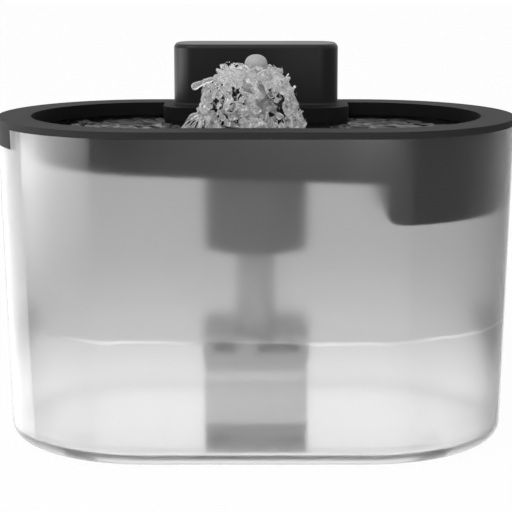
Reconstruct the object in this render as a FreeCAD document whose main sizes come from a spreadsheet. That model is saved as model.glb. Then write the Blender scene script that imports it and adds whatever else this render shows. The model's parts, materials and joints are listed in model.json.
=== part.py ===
import FreeCAD, Part
import math
import os
import Sketcher
from FreeCAD import Placement, Rotation, Vector

# Pet water fountain: a frosted tank with a lid that carries a drinking dish, a nozzle, a filter
# housing, the dry tower at the back and, hanging below it, the pump.
# Millimetres. X runs along the tank, the front looks along -Y, Z is up, and the origin lies under
# the middle of the tank on the surface that it stands on.

doc = FreeCAD.newDocument("pet_water_fountain")
sheet = doc.addObject("Spreadsheet::Sheet", "sizes")
rows = []


class Size:
    """A length with both its value and the expression that gives it."""

    def __init__(self, value, text):
        self.value = value
        self.text = text

    def __add__(self, other):
        other = as_size(other)
        return Size(self.value + other.value, f"({self.text} + {other.text})")

    def __sub__(self, other):
        other = as_size(other)
        return Size(self.value - other.value, f"({self.text} - {other.text})")

    def __mul__(self, other):
        other = as_size(other)
        return Size(self.value * other.value, f"({self.text} * {other.text})")

    def __truediv__(self, other):
        other = as_size(other)
        return Size(self.value / other.value, f"({self.text} / {other.text})")

    def __neg__(self):
        return Size(-self.value, f"(0 - {self.text})")

    def __radd__(self, other):
        return as_size(other) + self

    def __rsub__(self, other):
        return as_size(other) - self

    def __rmul__(self, other):
        return as_size(other) * self


def as_size(length):
    """A plain number as a Size, so that both can stand in one sum."""
    if isinstance(length, Size):
        return length
    return Size(float(length), f"({float(length)})")


def size(alias, value, what):
    """One driving dimension: its note, its number and its alias take a row of the sheet."""
    rows.append(alias)
    row = len(rows)
    sheet.set(f"A{row}", what)
    sheet.set(f"B{row}", str(value))
    sheet.setAlias(f"B{row}", alias)
    return Size(float(value), f"sizes.{alias}")


# Outline shared by the tank and the lid
end_spacing = size("end_spacing", 94, "between the centres of the two round ends")
rim_radius = size("rim_radius", 68, "outer radius of the lid's round ends")
rim_width = size("rim_width", 15, "flat ring around the dish")
rim_thickness = size("rim_thickness", 3, "thickness of the ring")
fit_gap = size("fit_gap", 0.3, "between pieces that lift apart")

# Tank
foot_height = size("foot_height", 1, "how far the pads stand below the tank")
tank_height = size("tank_height", 141.5, "from the foot ring to the top edge")
tank_draft = size("tank_draft", 3.7, "how much narrower each side is at the bottom")
tank_setback = size("tank_setback", 0.3, "from the lid's edge in to the tank's face")
tank_wall = size("tank_wall", 2.5, "wall")
tank_floor = size("tank_floor", 2.5, "floor")
recess_depth = size("recess_depth", 2, "hollow inside the foot ring")
recess_margin = size("recess_margin", 12, "width of the foot ring with its rounding")
tank_outer_round = size("tank_outer_round", 7, "rounding of the bottom edge outside")
tank_inner_round = size("tank_inner_round", 4.5, "rounding of the bottom edge inside")
notch_half_width = size("notch_half_width", 34, "half the notch in the left end")
notch_depth = size("notch_depth", 8.5, "depth of the notch")
pad_radius = size("pad_radius", 6.5, "soft pad under the tank")
pad_margin = size("pad_margin", 3.5, "from the foot ring in to a pad")

# Lid with its dish
dish_wall = size("dish_wall", 2.5, "wall and floor of the dish")
dish_depth = size("dish_depth", 22.8, "underside of the dish's middle below the rim")
dish_fall = size("dish_fall", 4.2, "drop of the floor from the middle to the right end")
dish_round = size("dish_round", 8, "rounding under the dish")
locating_rib = size("locating_rib", 1.5, "thickness of the rib that centres the lid")
locating_rib_depth = size("locating_rib_depth", 4, "depth of that rib")
locating_gap = size("locating_gap", 0.5, "between that rib and the tank")
plinth_side = size("plinth_side", 4.7, "plinth beside the tower")
plinth_ledge = size("plinth_ledge", 14, "plinth in front of the tower")
plinth_round = size("plinth_round", 14, "rounded front corners of the plinth")
plinth_wall = size("plinth_wall", 2.5, "walls of the plinth")

# Tower
tower_half_width = size("tower_half_width", 38.5, "half the tower's width")
tower_setback = size("tower_setback", 1, "from the lid's back edge to the tower")
tower_depth = size("tower_depth", 27, "from front to back")
tower_height = size("tower_height", 28.2, "above the rim")
tower_corner = size("tower_corner", 10, "rounded upright corners")
tower_edge = size("tower_edge", 2, "rounded top edge")
tower_wall = size("tower_wall", 2.2, "walls and roof")
gasket_height = size("gasket_height", 0.8, "gasket under the tower")
post_radius = size("post_radius", 3, "screw posts in the tower")
post_inset = size("post_inset", 7.5, "from the tower's side to a post")
front_post = size("front_post", 6, "from the tower's front to its front posts")
rear_post = size("rear_post", 19, "from the tower's front to its rear posts")
screw_radius = size("screw_radius", 1.5, "screw thread")
screw_head_radius = size("screw_head_radius", 2.6, "screw head")
screw_head_height = size("screw_head_height", 1.8, "screw head")
screw_length = size("screw_length", 11, "screw under its head")
screw_play = size("screw_play", 0.2, "between a screw and the hole that it passes")
board_level = size("board_level", 7.5, "board above the rim")
board_thickness = size("board_thickness", 1.6, "board")
board_half_width = size("board_half_width", 27, "half the board's width")
board_depth = size("board_depth", 15, "board from front to back")
chip_place = size("chip_place", 8, "left side of the board's chip")
chip_width = size("chip_width", 7, "chip")
chip_depth = size("chip_depth", 5, "chip")
chip_height = size("chip_height", 1.6, "chip")
chip_inset = size("chip_inset", 4, "from the board's front edge to the chip")
board_boss_reach = size("board_boss_reach", 23, "from the middle to a boss of the board")
board_boss_radius = size("board_boss_radius", 2.6, "boss of the board")
board_screw_radius = size("board_screw_radius", 1, "screw of the board")
board_screw_head = size("board_screw_head", 2, "radius of its head")
board_screw_head_height = size("board_screw_head_height", 1, "height of its head")
board_screw_grip = size("board_screw_grip", 3.75, "its thread in the boss")
inlet_place = size("inlet_place", -14, "the power inlet along the tower")
inlet_radius = size("inlet_radius", 3.4, "nose of the power inlet")
inlet_width = size("inlet_width", 9, "case of the power inlet")
inlet_pin_radius = size("inlet_pin_radius", 0.8, "pin of the power inlet")
inlet_hole_radius = size("inlet_hole_radius", 2.6, "mouth of the power inlet")
inlet_seal_wall = size("inlet_seal_wall", 1, "seal around the nose")

# Column of riser, sleeve and nozzle
column_place = size("column_place", -18, "axis of the column from front to back")
riser_radius = size("riser_radius", 8.5, "outside of the riser")
riser_wall = size("riser_wall", 2.5, "wall of the riser")
socket_lift = size("socket_lift", 0.8, "from the boss up to the nozzle's socket")
riser_seal_wall = size("riser_seal_wall", 1.5, "soft ring around the riser")
riser_seal_play = size("riser_seal_play", 0.1, "between the soft ring and its boss")
boss_wall = size("boss_wall", 2.5, "boss around the soft ring")
boss_height = size("boss_height", 5, "boss above the dish's floor")
sleeve_radius = size("sleeve_radius", 22.5, "collar under the dish")
sleeve_wall = size("sleeve_wall", 2, "wall of the collar")
sleeve_drop = size("sleeve_drop", 56, "end of the collar below the rim")
nozzle_top = size("nozzle_top", 28, "top of the nozzle above the rim")
nozzle_radius = size("nozzle_radius", 5, "stem and head of the nozzle")
nozzle_neck_radius = size("nozzle_neck_radius", 4.2, "neck under the head")
nozzle_bore = size("nozzle_bore", 2.8, "water way in the stem")
nozzle_dome = size("nozzle_dome", 4.3, "rounding of the head")
nozzle_roof = size("nozzle_roof", 2.5, "solid top of the head")
nozzle_head_height = size("nozzle_head_height", 6.5, "height of the head")
nozzle_neck_height = size("nozzle_neck_height", 3.2, "height of the neck with the outlets")
nozzle_outlet_radius = size("nozzle_outlet_radius", 1.3, "outlets under the head")
socket_wall = size("socket_wall", 1.8, "wall of the nozzle's socket")
socket_depth = size("socket_depth", 5, "how far the socket reaches over the riser")
socket_cone = size("socket_cone", 7, "height of the cone from the socket to the stem")

# Filter
housing_gap = size("housing_gap", 0.2, "between the filter housing and the locating rib")
housing_chord = size("housing_chord", 55.5, "flat inner side of the filter housing")
housing_drop = size("housing_drop", 40.5, "bottom of the filter housing below the rim")
housing_wall = size("housing_wall", 2, "wall of the filter housing")
housing_corner = size("housing_corner", 8, "rounded corners of the filter housing")
housing_edge = size("housing_edge", 3.5, "rounded bottom edge of the filter housing")
cartridge_ledge = size("cartridge_ledge", 4.4, "from the dish's wall in to the cartridge")
cartridge_room = size("cartridge_room", 4.5, "from the housing's flat side to the cartridge")
cartridge_set = size("cartridge_set", 0.9, "top of the cartridge below the middle of the dish's underside")
cartridge_wall = size("cartridge_wall", 1.5, "wall of the cartridge")
cartridge_play = size("cartridge_play", 0.7, "between the cartridge and its opening")
filter_free = size("filter_free", 1.3, "free height over the fleece")
filter_pad_height = size("filter_pad_height", 4, "fleece over the carbon")
media_play = size("media_play", 0.15, "between the cartridge and what fills it")
cover_height = size("cover_height", 2, "slotted cover")
slot_width = size("slot_width", 2.6, "slots of the filter parts")
slot_pitch = size("slot_pitch", 5.6, "from slot to slot")
slot_reach = size("slot_reach", 24.3, "half the length of the longest slot")
finger_hole_radius = size("finger_hole_radius", 6.5, "finger hole in the cover")
finger_hole_place = size("finger_hole_place", 21, "from the cover's flat side to the finger hole")

# Pump box
side_room = size("side_room", 4.7, "between the pump and the side of its box")
front_room = size("front_room", 6, "between the pump and the front of its box")
back_room = size("back_room", 2.4, "between the pump and the back of its box")
box_wall = size("box_wall", 1.8, "walls of the pump box")
box_corner = size("box_corner", 4, "rounded corners of the pump box")
cup_height = size("cup_height", 1.2, "suction cups below the base")
cup_radius = size("cup_radius", 4.5, "suction cup")
cup_inset = size("cup_inset", 8, "from the side of the box to a cup")
cup_stud_radius = size("cup_stud_radius", 1.8, "stud of a suction cup")
base_height = size("base_height", 8, "dark base of the box")
base_floor = size("base_floor", 1.4, "floor of the base")
head_room = size("head_room", 0.6, "between the pump and the top of the box's body")
lid_height = size("lid_height", 9.6, "strainer lid")
lid_overhang = size("lid_overhang", 0.8, "lid beyond the body")
lid_slot_height = size("lid_slot_height", 3.4, "inlet slots of the lid")
lid_slot_drop = size("lid_slot_drop", 2.2, "from the lid's top to a slot")
left_slot_reach = size("left_slot_reach", 18, "left end of the front's left slot")
left_slot_width = size("left_slot_width", 9.5, "front's left slot")
right_slot_reach = size("right_slot_reach", 18.5, "right end of the front's right slot")
right_slot_width = size("right_slot_width", 17.5, "front's right slot")
side_slot_front = size("side_slot_front", 10.5, "from the column forward to the side slots' ends")
side_slot_back = size("side_slot_back", 25, "from the column back to the side slots' ends")
sponge_height = size("sponge_height", 6, "sponge under the lid")

# Pump
motor_side_room = size("motor_side_room", 1.6, "between the core and the housing's side")
motor_back_room = size("motor_back_room", 0.9, "between the rotor's chamber and the back cover")
seal_margin = size("seal_margin", 0.4, "housing above the seal")
pump_wall = size("pump_wall", 1.3, "walls of the housing")
back_cover_thickness = size("back_cover_thickness", 1.6, "cover behind the motor")
coil_room = size("coil_room", 2.8, "between the coil and the rotor's chamber")
magnet_room = size("magnet_room", 0.8, "between the magnet and its chamber")
chamber_wall = size("chamber_wall", 1.1, "wall of the rotor's chamber")
chamber_room = size("chamber_room", 4.4, "behind the magnet in its chamber")
magnet_radius = size("magnet_radius", 6.2, "rotor magnet")
magnet_length = size("magnet_length", 12, "rotor magnet")
hub_radius = size("hub_radius", 2.6, "hub of the impeller")
hub_play = size("hub_play", 0.1, "between the hub and the magnet")
shaft_radius = size("shaft_radius", 1.2, "fixed shaft")
running_gap = size("running_gap", 0.05, "between the shaft and the impeller")
vane_reach = size("vane_reach", 7.6, "tips of the vanes")
vane_width = size("vane_width", 1.2, "thickness of a vane")
vane_length = size("vane_length", 5.4, "vanes along the axis")
bushing_radius = size("bushing_radius", 2.6, "soft bushes of the shaft")
bushing_length = size("bushing_length", 2, "soft bushes of the shaft")
cover_margin = size("cover_margin", 1.8, "cover beside its screws")
volute_room = size("volute_room", 1.5, "behind the impeller's disc")
vane_room = size("vane_room", 1, "between the vanes and their chamber")
volute_wall = size("volute_wall", 2.1, "front wall of the impeller's chamber")
inlet_gap = size("inlet_gap", 1.5, "water way around the front bush")
spoke_width = size("spoke_width", 1.4, "spoke that holds the front bush")
spigot_play = size("spigot_play", 0.1, "between the spigot and the riser")
spigot_wall = size("spigot_wall", 1.9, "wall of the spigot")
spigot_height = size("spigot_height", 9, "spigot above the cover")
seal_step = size("seal_step", 0.6, "from the impeller's chamber out to the seal")
seal_width = size("seal_width", 0.8, "seal around the impeller's chamber")
pump_screw_step = size("pump_screw_step", 0.7, "from the seal out to a screw of the cover")
pump_screw_set = size("pump_screw_set", 2.5, "from the seal's top down to a screw of the cover")
pump_screw_radius = size("pump_screw_radius", 0.9, "screws of the cover")
pump_screw_head = size("pump_screw_head", 1.8, "radius of their heads and of the bosses behind them")
pump_screw_head_height = size("pump_screw_head_height", 0.9, "height of their heads")
pump_screw_grip = size("pump_screw_grip", 2.6, "their thread in the housing")
pump_pilot_depth = size("pump_pilot_depth", 3.25, "holes for that thread")
pump_boss_length = size("pump_boss_length", 3.9, "bosses around those holes")
core_thickness = size("core_thickness", 10, "stack of the core")
core_leg = size("core_leg", 4.6, "legs of the core")
core_yoke = size("core_yoke", 3.2, "yoke of the core")
core_play = size("core_play", 0.4, "between the core and the housing")
coil_half_width = size("coil_half_width", 6.4, "half the coil along the yoke")
coil_wall = size("coil_wall", 2.4, "thickness of the winding")

# Lead from the pump to the board
lead_radius = size("lead_radius", 2.2, "lead")
lead_place = size("lead_place", 4, "lead along the tank")
lead_level = size("lead_level", 17, "lead above the pump box's floor")
lead_upright = size("lead_upright", 7.6, "upright run behind the tower's front")
lead_bend = size("lead_bend", 20, "radius of its bend")
grommet_wall = size("grommet_wall", 1.8, "grommet around the lead")
grommet_flange = size("grommet_flange", 1, "flanges of the grommet")
grommet_play = size("grommet_play", 0.15, "between the grommet and its hole")
gland_length = size("gland_length", 5, "gland outside the box")
connector_height = size("connector_height", 3.5, "connector under the board")
connector_half_width = size("connector_half_width", 4, "half the connector")
connector_front = size("connector_front", 2, "from the lead to the connector's front")
connector_back = size("connector_back", 4, "from the lead to the connector's back")

# Levels and places that follow from the sizes above
middle = as_size(0)
tank_top = foot_height + tank_height
rim_top = tank_top + rim_thickness
tank_top_radius = rim_radius - tank_setback
tank_bottom_radius = tank_top_radius - tank_draft
recess_radius = tank_bottom_radius - recess_margin
floor_top = foot_height + recess_depth + tank_floor
end_place = end_spacing / 2
half_length = end_place + rim_radius
dish_radius = rim_radius - rim_width
rib_radius = tank_top_radius - tank_wall - locating_gap
sleeve_end = rim_top - sleeve_drop
boss_top = rim_top - dish_depth + dish_wall + boss_height
riser_top = boss_top + socket_lift + socket_depth

tower_back = rim_radius - tower_setback
tower_front = tower_back - tower_depth
plinth_front = tower_front - plinth_ledge
plinth_half_width = tower_half_width + plinth_side
board_bottom = rim_top + board_level
lead_upright_place = tower_front + lead_upright

housing_radius = rib_radius - locating_rib - housing_gap
housing_bottom = rim_top - housing_drop
cartridge_radius = dish_radius - cartridge_ledge
cartridge_chord = housing_chord + housing_wall + cartridge_room
cartridge_bottom = housing_bottom + housing_wall + fit_gap
cartridge_top = rim_top - dish_depth - cartridge_set
cartridge_height = cartridge_top - cartridge_bottom
cover_bottom = cartridge_top + fit_gap
bed_height = cartridge_height - cartridge_wall - 2 * media_play - filter_pad_height - filter_free

chamber_radius = magnet_radius + magnet_room
chamber_length = 2 * fit_gap + magnet_length + chamber_room
rotor_level = (pump_wall + core_play + 2 * coil_wall + core_yoke + coil_room
               + chamber_radius + chamber_wall)
volute_radius = vane_reach + vane_room
volute_depth = fit_gap + vane_length + vane_width + volute_room
volute_inlet = bushing_radius + chamber_wall + inlet_gap
seal_radius = volute_radius + seal_step
pump_screw_reach = seal_radius + seal_width + pump_screw_step
pump_screw_rise = seal_radius + seal_width - pump_screw_set
cover_half_width = pump_screw_reach + cover_margin
spigot_radius = riser_radius - riser_wall - spigot_play
spigot_bore = spigot_radius - spigot_wall
pump_half_width = chamber_radius + chamber_wall + core_play + core_leg + motor_side_room + pump_wall
pump_length = chamber_length + bushing_length + chamber_wall + motor_back_room
pump_height = rotor_level + seal_radius + seal_width + seal_margin

box_half_width = pump_half_width + side_room + box_wall
box_front = volute_depth / 2 + volute_wall + pump_screw_radius + front_room + box_wall
box_back = volute_depth / 2 + pump_length + back_cover_thickness + back_room + box_wall
body_height = pump_height - base_height + base_floor + head_room
box_floor = floor_top + fit_gap + cup_height
box_body_bottom = box_floor + base_height
box_body_top = box_body_bottom + body_height
pump_bottom = box_floor + base_floor
rotor_axis = pump_bottom + rotor_level
volute_back = column_place + volute_depth / 2
volute_front = column_place - volute_depth / 2
motor_back = volute_back + pump_length

# Counts
HOUSING_DRAINS = 4
FRAME_SLOTS = 4
COVER_SLOTS = 2
VANE_PAIRS = 3

# Where an edge is sampled, as shares of its length
EDGE_SAMPLES = (0.0, 0.3, 0.7, 1.0)

# Turns that lay a shape along an axis
UPWARD = Rotation()
BACKWARD = Rotation(Vector(1, 0, 0), -90)


# Bound properties
def bound(made, **lengths):
    """Bind properties of an object to sizes."""
    for name, length in lengths.items():
        made.setExpression(name, as_size(length).text)
    return made


def at(made, x=middle, y=middle, z=middle):
    """Place an object by three sizes."""
    for axis, place in zip("xyz", (x, y, z)):
        made.setExpression(f"Placement.Base.{axis}", as_size(place).text)
    return made


# Primitives and booleans
def block(name, low, high):
    """A box between two corners."""
    made = doc.addObject("Part::Box", name)
    bound(made, Length=high[0] - low[0], Width=high[1] - low[1], Height=high[2] - low[2])
    return at(made, *low)


def rod(name, radius, length, start, turn=UPWARD):
    """A cylinder from a start point along a turned axis."""
    made = doc.addObject("Part::Cylinder", name)
    made.Placement = Placement(Vector(), turn)
    bound(made, Radius=radius, Height=length)
    return at(made, *start)


def cut(name, base, tool):
    """One shape less another."""
    made = doc.addObject("Part::Cut", name)
    made.Base = base
    made.Tool = tool
    made.Refine = True
    return made


def fuse(name, *shapes):
    """Several shapes as one."""
    made = doc.addObject("Part::MultiFuse", name)
    made.Shapes = list(shapes)
    made.Refine = True
    return made


def group(name, *shapes):
    """Separate solids kept together under one name."""
    made = doc.addObject("Part::Compound", name)
    made.Links = list(shapes)
    return made


def shared(name, one, other):
    """What two shapes have in common."""
    made = doc.addObject("Part::Common", name)
    made.Base = one
    made.Tool = other
    made.Refine = True
    return made


def tube(name, outer, inner, length, start, turn=UPWARD):
    """A rod with a bore right through."""
    return cut(name, rod(name + "_outside", outer, length, start, turn),
               rod(name + "_bore", inner, length, start, turn))


# Sketches
def flat(point):
    """A sketch point as a vector."""
    return Vector(as_size(point[0]).value, as_size(point[1]).value, 0)


def tie(sketch, geometry, end, point):
    """Tie a point of a sketch to its two coordinates."""
    for kind, axis, coordinate in (("DistanceX", -2, point[0]), ("DistanceY", -1, point[1])):
        coordinate = as_size(coordinate)
        if abs(coordinate.value) < 1e-9:
            sketch.addConstraint(Sketcher.Constraint("PointOnObject", geometry, end, axis))
            continue
        number = sketch.addConstraint(
            Sketcher.Constraint(kind, -1, 1, geometry, end, coordinate.value))
        sketch.setExpression(f"Constraints[{number}]", coordinate.text)


def tie_radius(sketch, geometry, radius):
    """Tie the radius of a circle or an arc."""
    number = sketch.addConstraint(Sketcher.Constraint("Radius", geometry, as_size(radius).value))
    sketch.setExpression(f"Constraints[{number}]", as_size(radius).text)


def polygon(sketch, points):
    """A closed outline of straight lines through the points."""
    first = sketch.GeometryCount
    count = len(points)
    for number, point in enumerate(points):
        following = points[(number + 1) % count]
        sketch.addGeometry(Part.LineSegment(flat(point), flat(following)), False)
    for number, point in enumerate(points):
        line = first + number
        following = first + (number + 1) % count
        sketch.addConstraint(Sketcher.Constraint("Coincident", line, 2, following, 1))
        tie(sketch, line, 1, point)


def circle(sketch, centre, radius):
    """A circle tied by its centre and radius."""
    spot = sketch.addGeometry(
        Part.Circle(flat(centre), Vector(0, 0, 1), as_size(radius).value), False)
    tie(sketch, spot, 3, centre)
    tie_radius(sketch, spot, radius)


def arc(sketch, centre, radius, start, end):
    """An arc between two angles in degrees, tied by its centre and radius."""
    whole = Part.Circle(flat(centre), Vector(0, 0, 1), as_size(radius).value)
    spot = sketch.addGeometry(
        Part.ArcOfCircle(whole, math.radians(start), math.radians(end)), False)
    tie(sketch, spot, 3, centre)
    tie_radius(sketch, spot, radius)
    return spot


def joined(sketch, arcs):
    """Straight lines from each arc's end to the next one's start, tangent to both."""
    for number, spot in enumerate(arcs):
        following = arcs[(number + 1) % len(arcs)]
        start = sketch.getPoint(spot, 2)
        end = sketch.getPoint(following, 1)
        line = sketch.addGeometry(Part.LineSegment(start, end), False)
        sketch.addConstraint(Sketcher.Constraint("Tangent", spot, 2, line, 1))
        sketch.addConstraint(Sketcher.Constraint("Tangent", line, 2, following, 1))


def stadium(sketch, radius):
    """The outline of the tank and the lid: two half circles and two lines."""
    right = arc(sketch, (end_place, middle), radius, -90, 90)
    left = arc(sketch, (-end_place, middle), radius, 90, 270)
    joined(sketch, [right, left])


def rounded_rectangle(sketch, low, high, radius):
    """A rectangle with four rounded corners."""
    right = high[0] - radius
    left = low[0] + radius
    back = high[1] - radius
    front = low[1] + radius
    joined(sketch, [arc(sketch, (right, back), radius, 0, 90),
                    arc(sketch, (left, back), radius, 90, 180),
                    arc(sketch, (left, front), radius, 180, 270),
                    arc(sketch, (right, front), radius, 270, 360)])


def segment(sketch, radius, chord):
    """The part of the right round end that lies beyond a straight chord."""
    half_angle = math.degrees(math.acos((chord.value - end_place.value) / radius.value))
    spot = arc(sketch, (end_place, middle), radius, -half_angle, half_angle)
    line = sketch.addGeometry(
        Part.LineSegment(sketch.getPoint(spot, 2), sketch.getPoint(spot, 1)), False)
    sketch.addConstraint(Sketcher.Constraint("Coincident", spot, 2, line, 1))
    sketch.addConstraint(Sketcher.Constraint("Coincident", line, 2, spot, 1))
    sketch.addConstraint(Sketcher.Constraint("Vertical", line))
    number = sketch.addConstraint(Sketcher.Constraint("DistanceX", -1, 1, line, 1, chord.value))
    sketch.setExpression(f"Constraints[{number}]", chord.text)


def plan(name, level):
    """A sketch that lies flat at a level."""
    made = doc.addObject("Sketcher::SketchObject", name)
    return at(made, z=level)


def raised(name, sketch, height):
    """A sketch drawn up into a solid."""
    made = doc.addObject("Part::Extrusion", name)
    made.Base = sketch
    made.DirMode = "Normal"
    made.Solid = True
    return bound(made, LengthFwd=height)


def stadium_block(name, radius, low, high):
    """A solid with the outline of the lid."""
    sketch = plan(name + "_outline", low)
    stadium(sketch, radius)
    return raised(name, sketch, high - low)


def rounded_block(name, low, high, radius):
    """A box with rounded upright corners."""
    sketch = plan(name + "_outline", low[2])
    rounded_rectangle(sketch, low, high, radius)
    return raised(name, sketch, high[2] - low[2])


def segment_block(name, radius, chord, low, height):
    """A solid on a segment of the right round end."""
    sketch = plan(name + "_outline", low)
    segment(sketch, radius, chord)
    return raised(name, sketch, height)


# Bodies
def feature_body(name):
    """A body whose features are added one after another."""
    return doc.addObject("PartDesign::Body", name)


def body_sketch(owner, name, role, x=middle, level=middle):
    """A sketch on one of a body's own planes, moved along it or off it."""
    plane = [part for part in owner.Origin.OriginFeatures if part.Role == role][0]
    made = owner.newObject("Sketcher::SketchObject", name)
    made.AttachmentSupport = [(plane, "")]
    made.MapMode = "FlatFace"
    made.setExpression("AttachmentOffset.Base.x", as_size(x).text)
    made.setExpression("AttachmentOffset.Base.z", as_size(level).text)
    return made


def pad(owner, name, sketch, length, both=False, down=False):
    """Add a sketch's area over a length."""
    made = owner.newObject("PartDesign::Pad", name)
    made.Profile = sketch
    made.SideType = "Symmetric" if both else "One side"
    made.Reversed = down
    return bound(made, Length=length)


def pocket(owner, name, sketch, length=None, both=False, flip=False):
    """Take a sketch's area away, over a length or right through."""
    made = owner.newObject("PartDesign::Pocket", name)
    made.Profile = sketch
    made.SideType = "Symmetric" if both else "One side"
    made.Reversed = flip
    if length is None:
        made.Type = "ThroughAll"
        return made
    return bound(made, Length=length)


def turned(owner, name, sketch, angle=360):
    """Turn a sketch about its own upright axis, half to each side."""
    made = owner.newObject("PartDesign::Revolution", name)
    made.Profile = sketch
    made.ReferenceAxis = (sketch, ["V_Axis"])
    made.Midplane = True
    made.Angle = angle
    return made


def rounded(owner, name, radius, chosen):
    """Round those edges of a body whose every sampled point passes a test."""
    doc.recompute()
    base = owner.Tip
    names = []
    for number, edge in enumerate(base.Shape.Edges, 1):
        span = edge.LastParameter - edge.FirstParameter
        points = [edge.valueAt(edge.FirstParameter + span * share) for share in EDGE_SAMPLES]
        if all(chosen(point) for point in points):
            names.append(f"Edge{number}")
    made = owner.newObject("PartDesign::Fillet", name)
    made.Base = (base, names)
    return bound(made, Radius=radius)


def near(one, other):
    """Whether two lengths are the same."""
    return abs(as_size(one).value - as_size(other).value) < 1e-4


def spine_distance(point):
    """Plan distance from the line between the two end centres."""
    beyond = max(abs(point.x) - end_place.value, 0)
    return math.hypot(beyond, point.y)


pieces = {}


def piece(node, made):
    """Name a finished sub-part."""
    made.Label = node
    pieces[node] = made
    return made


# Tank: a half section turned about each end centre, and the same section drawn straight between
def tank():
    owner = feature_body("tank_body")
    half_section = [
        (middle, foot_height + recess_depth),
        (recess_radius, foot_height + recess_depth),
        (recess_radius, foot_height),
        (tank_bottom_radius, foot_height),
        (tank_top_radius, tank_top),
        (tank_top_radius - tank_wall, tank_top),
        (tank_bottom_radius - tank_wall, floor_top),
        (middle, floor_top),
    ]
    straight = body_sketch(owner, "tank_section", "YZ_Plane")
    far_side = [(-radius, level) for radius, level in reversed(half_section[1:-1])]
    polygon(straight, half_section[1:-1] + far_side)
    pad(owner, "tank_straight", straight, end_spacing, both=True)
    for side, name in ((1, "right"), (-1, "left")):
        sketch = body_sketch(owner, f"tank_{name}_section", "XZ_Plane", x=side * end_place)
        polygon(sketch, [(side * radius, level) for radius, level in half_section])
        turned(owner, f"tank_{name}_end", sketch, angle=180)
    rounded(owner, "tank_outer_rounding", tank_outer_round,
            lambda point: near(point.z, foot_height) and near(spine_distance(point), tank_bottom_radius))
    rounded(owner, "tank_inner_rounding", tank_inner_round,
            lambda point: near(point.z, floor_top)
            and near(spine_distance(point), tank_bottom_radius - tank_wall))
    notch = body_sketch(owner, "notch_outline", "YZ_Plane")
    notch_bottom = tank_top - notch_depth
    polygon(notch, [(-notch_half_width, notch_bottom), (notch_half_width, notch_bottom),
                    (notch_half_width, rim_top), (-notch_half_width, rim_top)])
    pocket(owner, "notch", notch)
    return piece("tank", owner)


def tank_feet():
    share = math.sqrt(0.5)
    offset = (recess_radius - pad_radius - pad_margin) * share
    pads = [rod(f"foot_{number}", pad_radius, foot_height + recess_depth,
                (along * (end_place + offset), across * offset, middle))
            for number, (along, across) in enumerate(((-1, -1), (1, -1), (1, 1), (-1, 1)), 1)]
    return piece("tank_feet", group("tank_feet_group", *pads))


# Lid: the flat rim, the dish with its falling floor, the plinth, the tab, the rib and the bosses
def dish_block(name, radius, lift, rounding):
    """A block down from the rim whose underside falls to the right and is rounded."""
    owner = feature_body(name)
    outline = body_sketch(owner, name + "_outline", "XY_Plane", level=rim_top)
    stadium(outline, radius)
    pad(owner, name + "_block", outline, dish_depth + dish_fall, down=True)
    left_level = rim_top - dish_depth + dish_fall + lift
    right_level = rim_top - dish_depth - dish_fall + lift
    below = right_level - dish_depth
    wedge = body_sketch(owner, name + "_wedge", "XZ_Plane")
    polygon(wedge, [(-half_length, left_level), (half_length, right_level),
                    (half_length, below), (-half_length, below)])
    pocket(owner, name + "_underside", wedge, both=True)

    def on_underside(point):
        share = (point.x + half_length.value) / (2 * half_length.value)
        return near(point.z, left_level.value + share * (right_level.value - left_level.value))

    rounded(owner, name + "_rounding", rounding, on_underside)
    return owner


def post_places():
    """Where the tower's four posts stand."""
    side = tower_half_width - post_inset
    return [(along * side, tower_front + back) for back in (front_post, rear_post) for along in (-1, 1)]


def board_boss_places():
    return [(side * board_boss_reach, tower_front + tower_depth / 2) for side in (-1, 1)]


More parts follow.
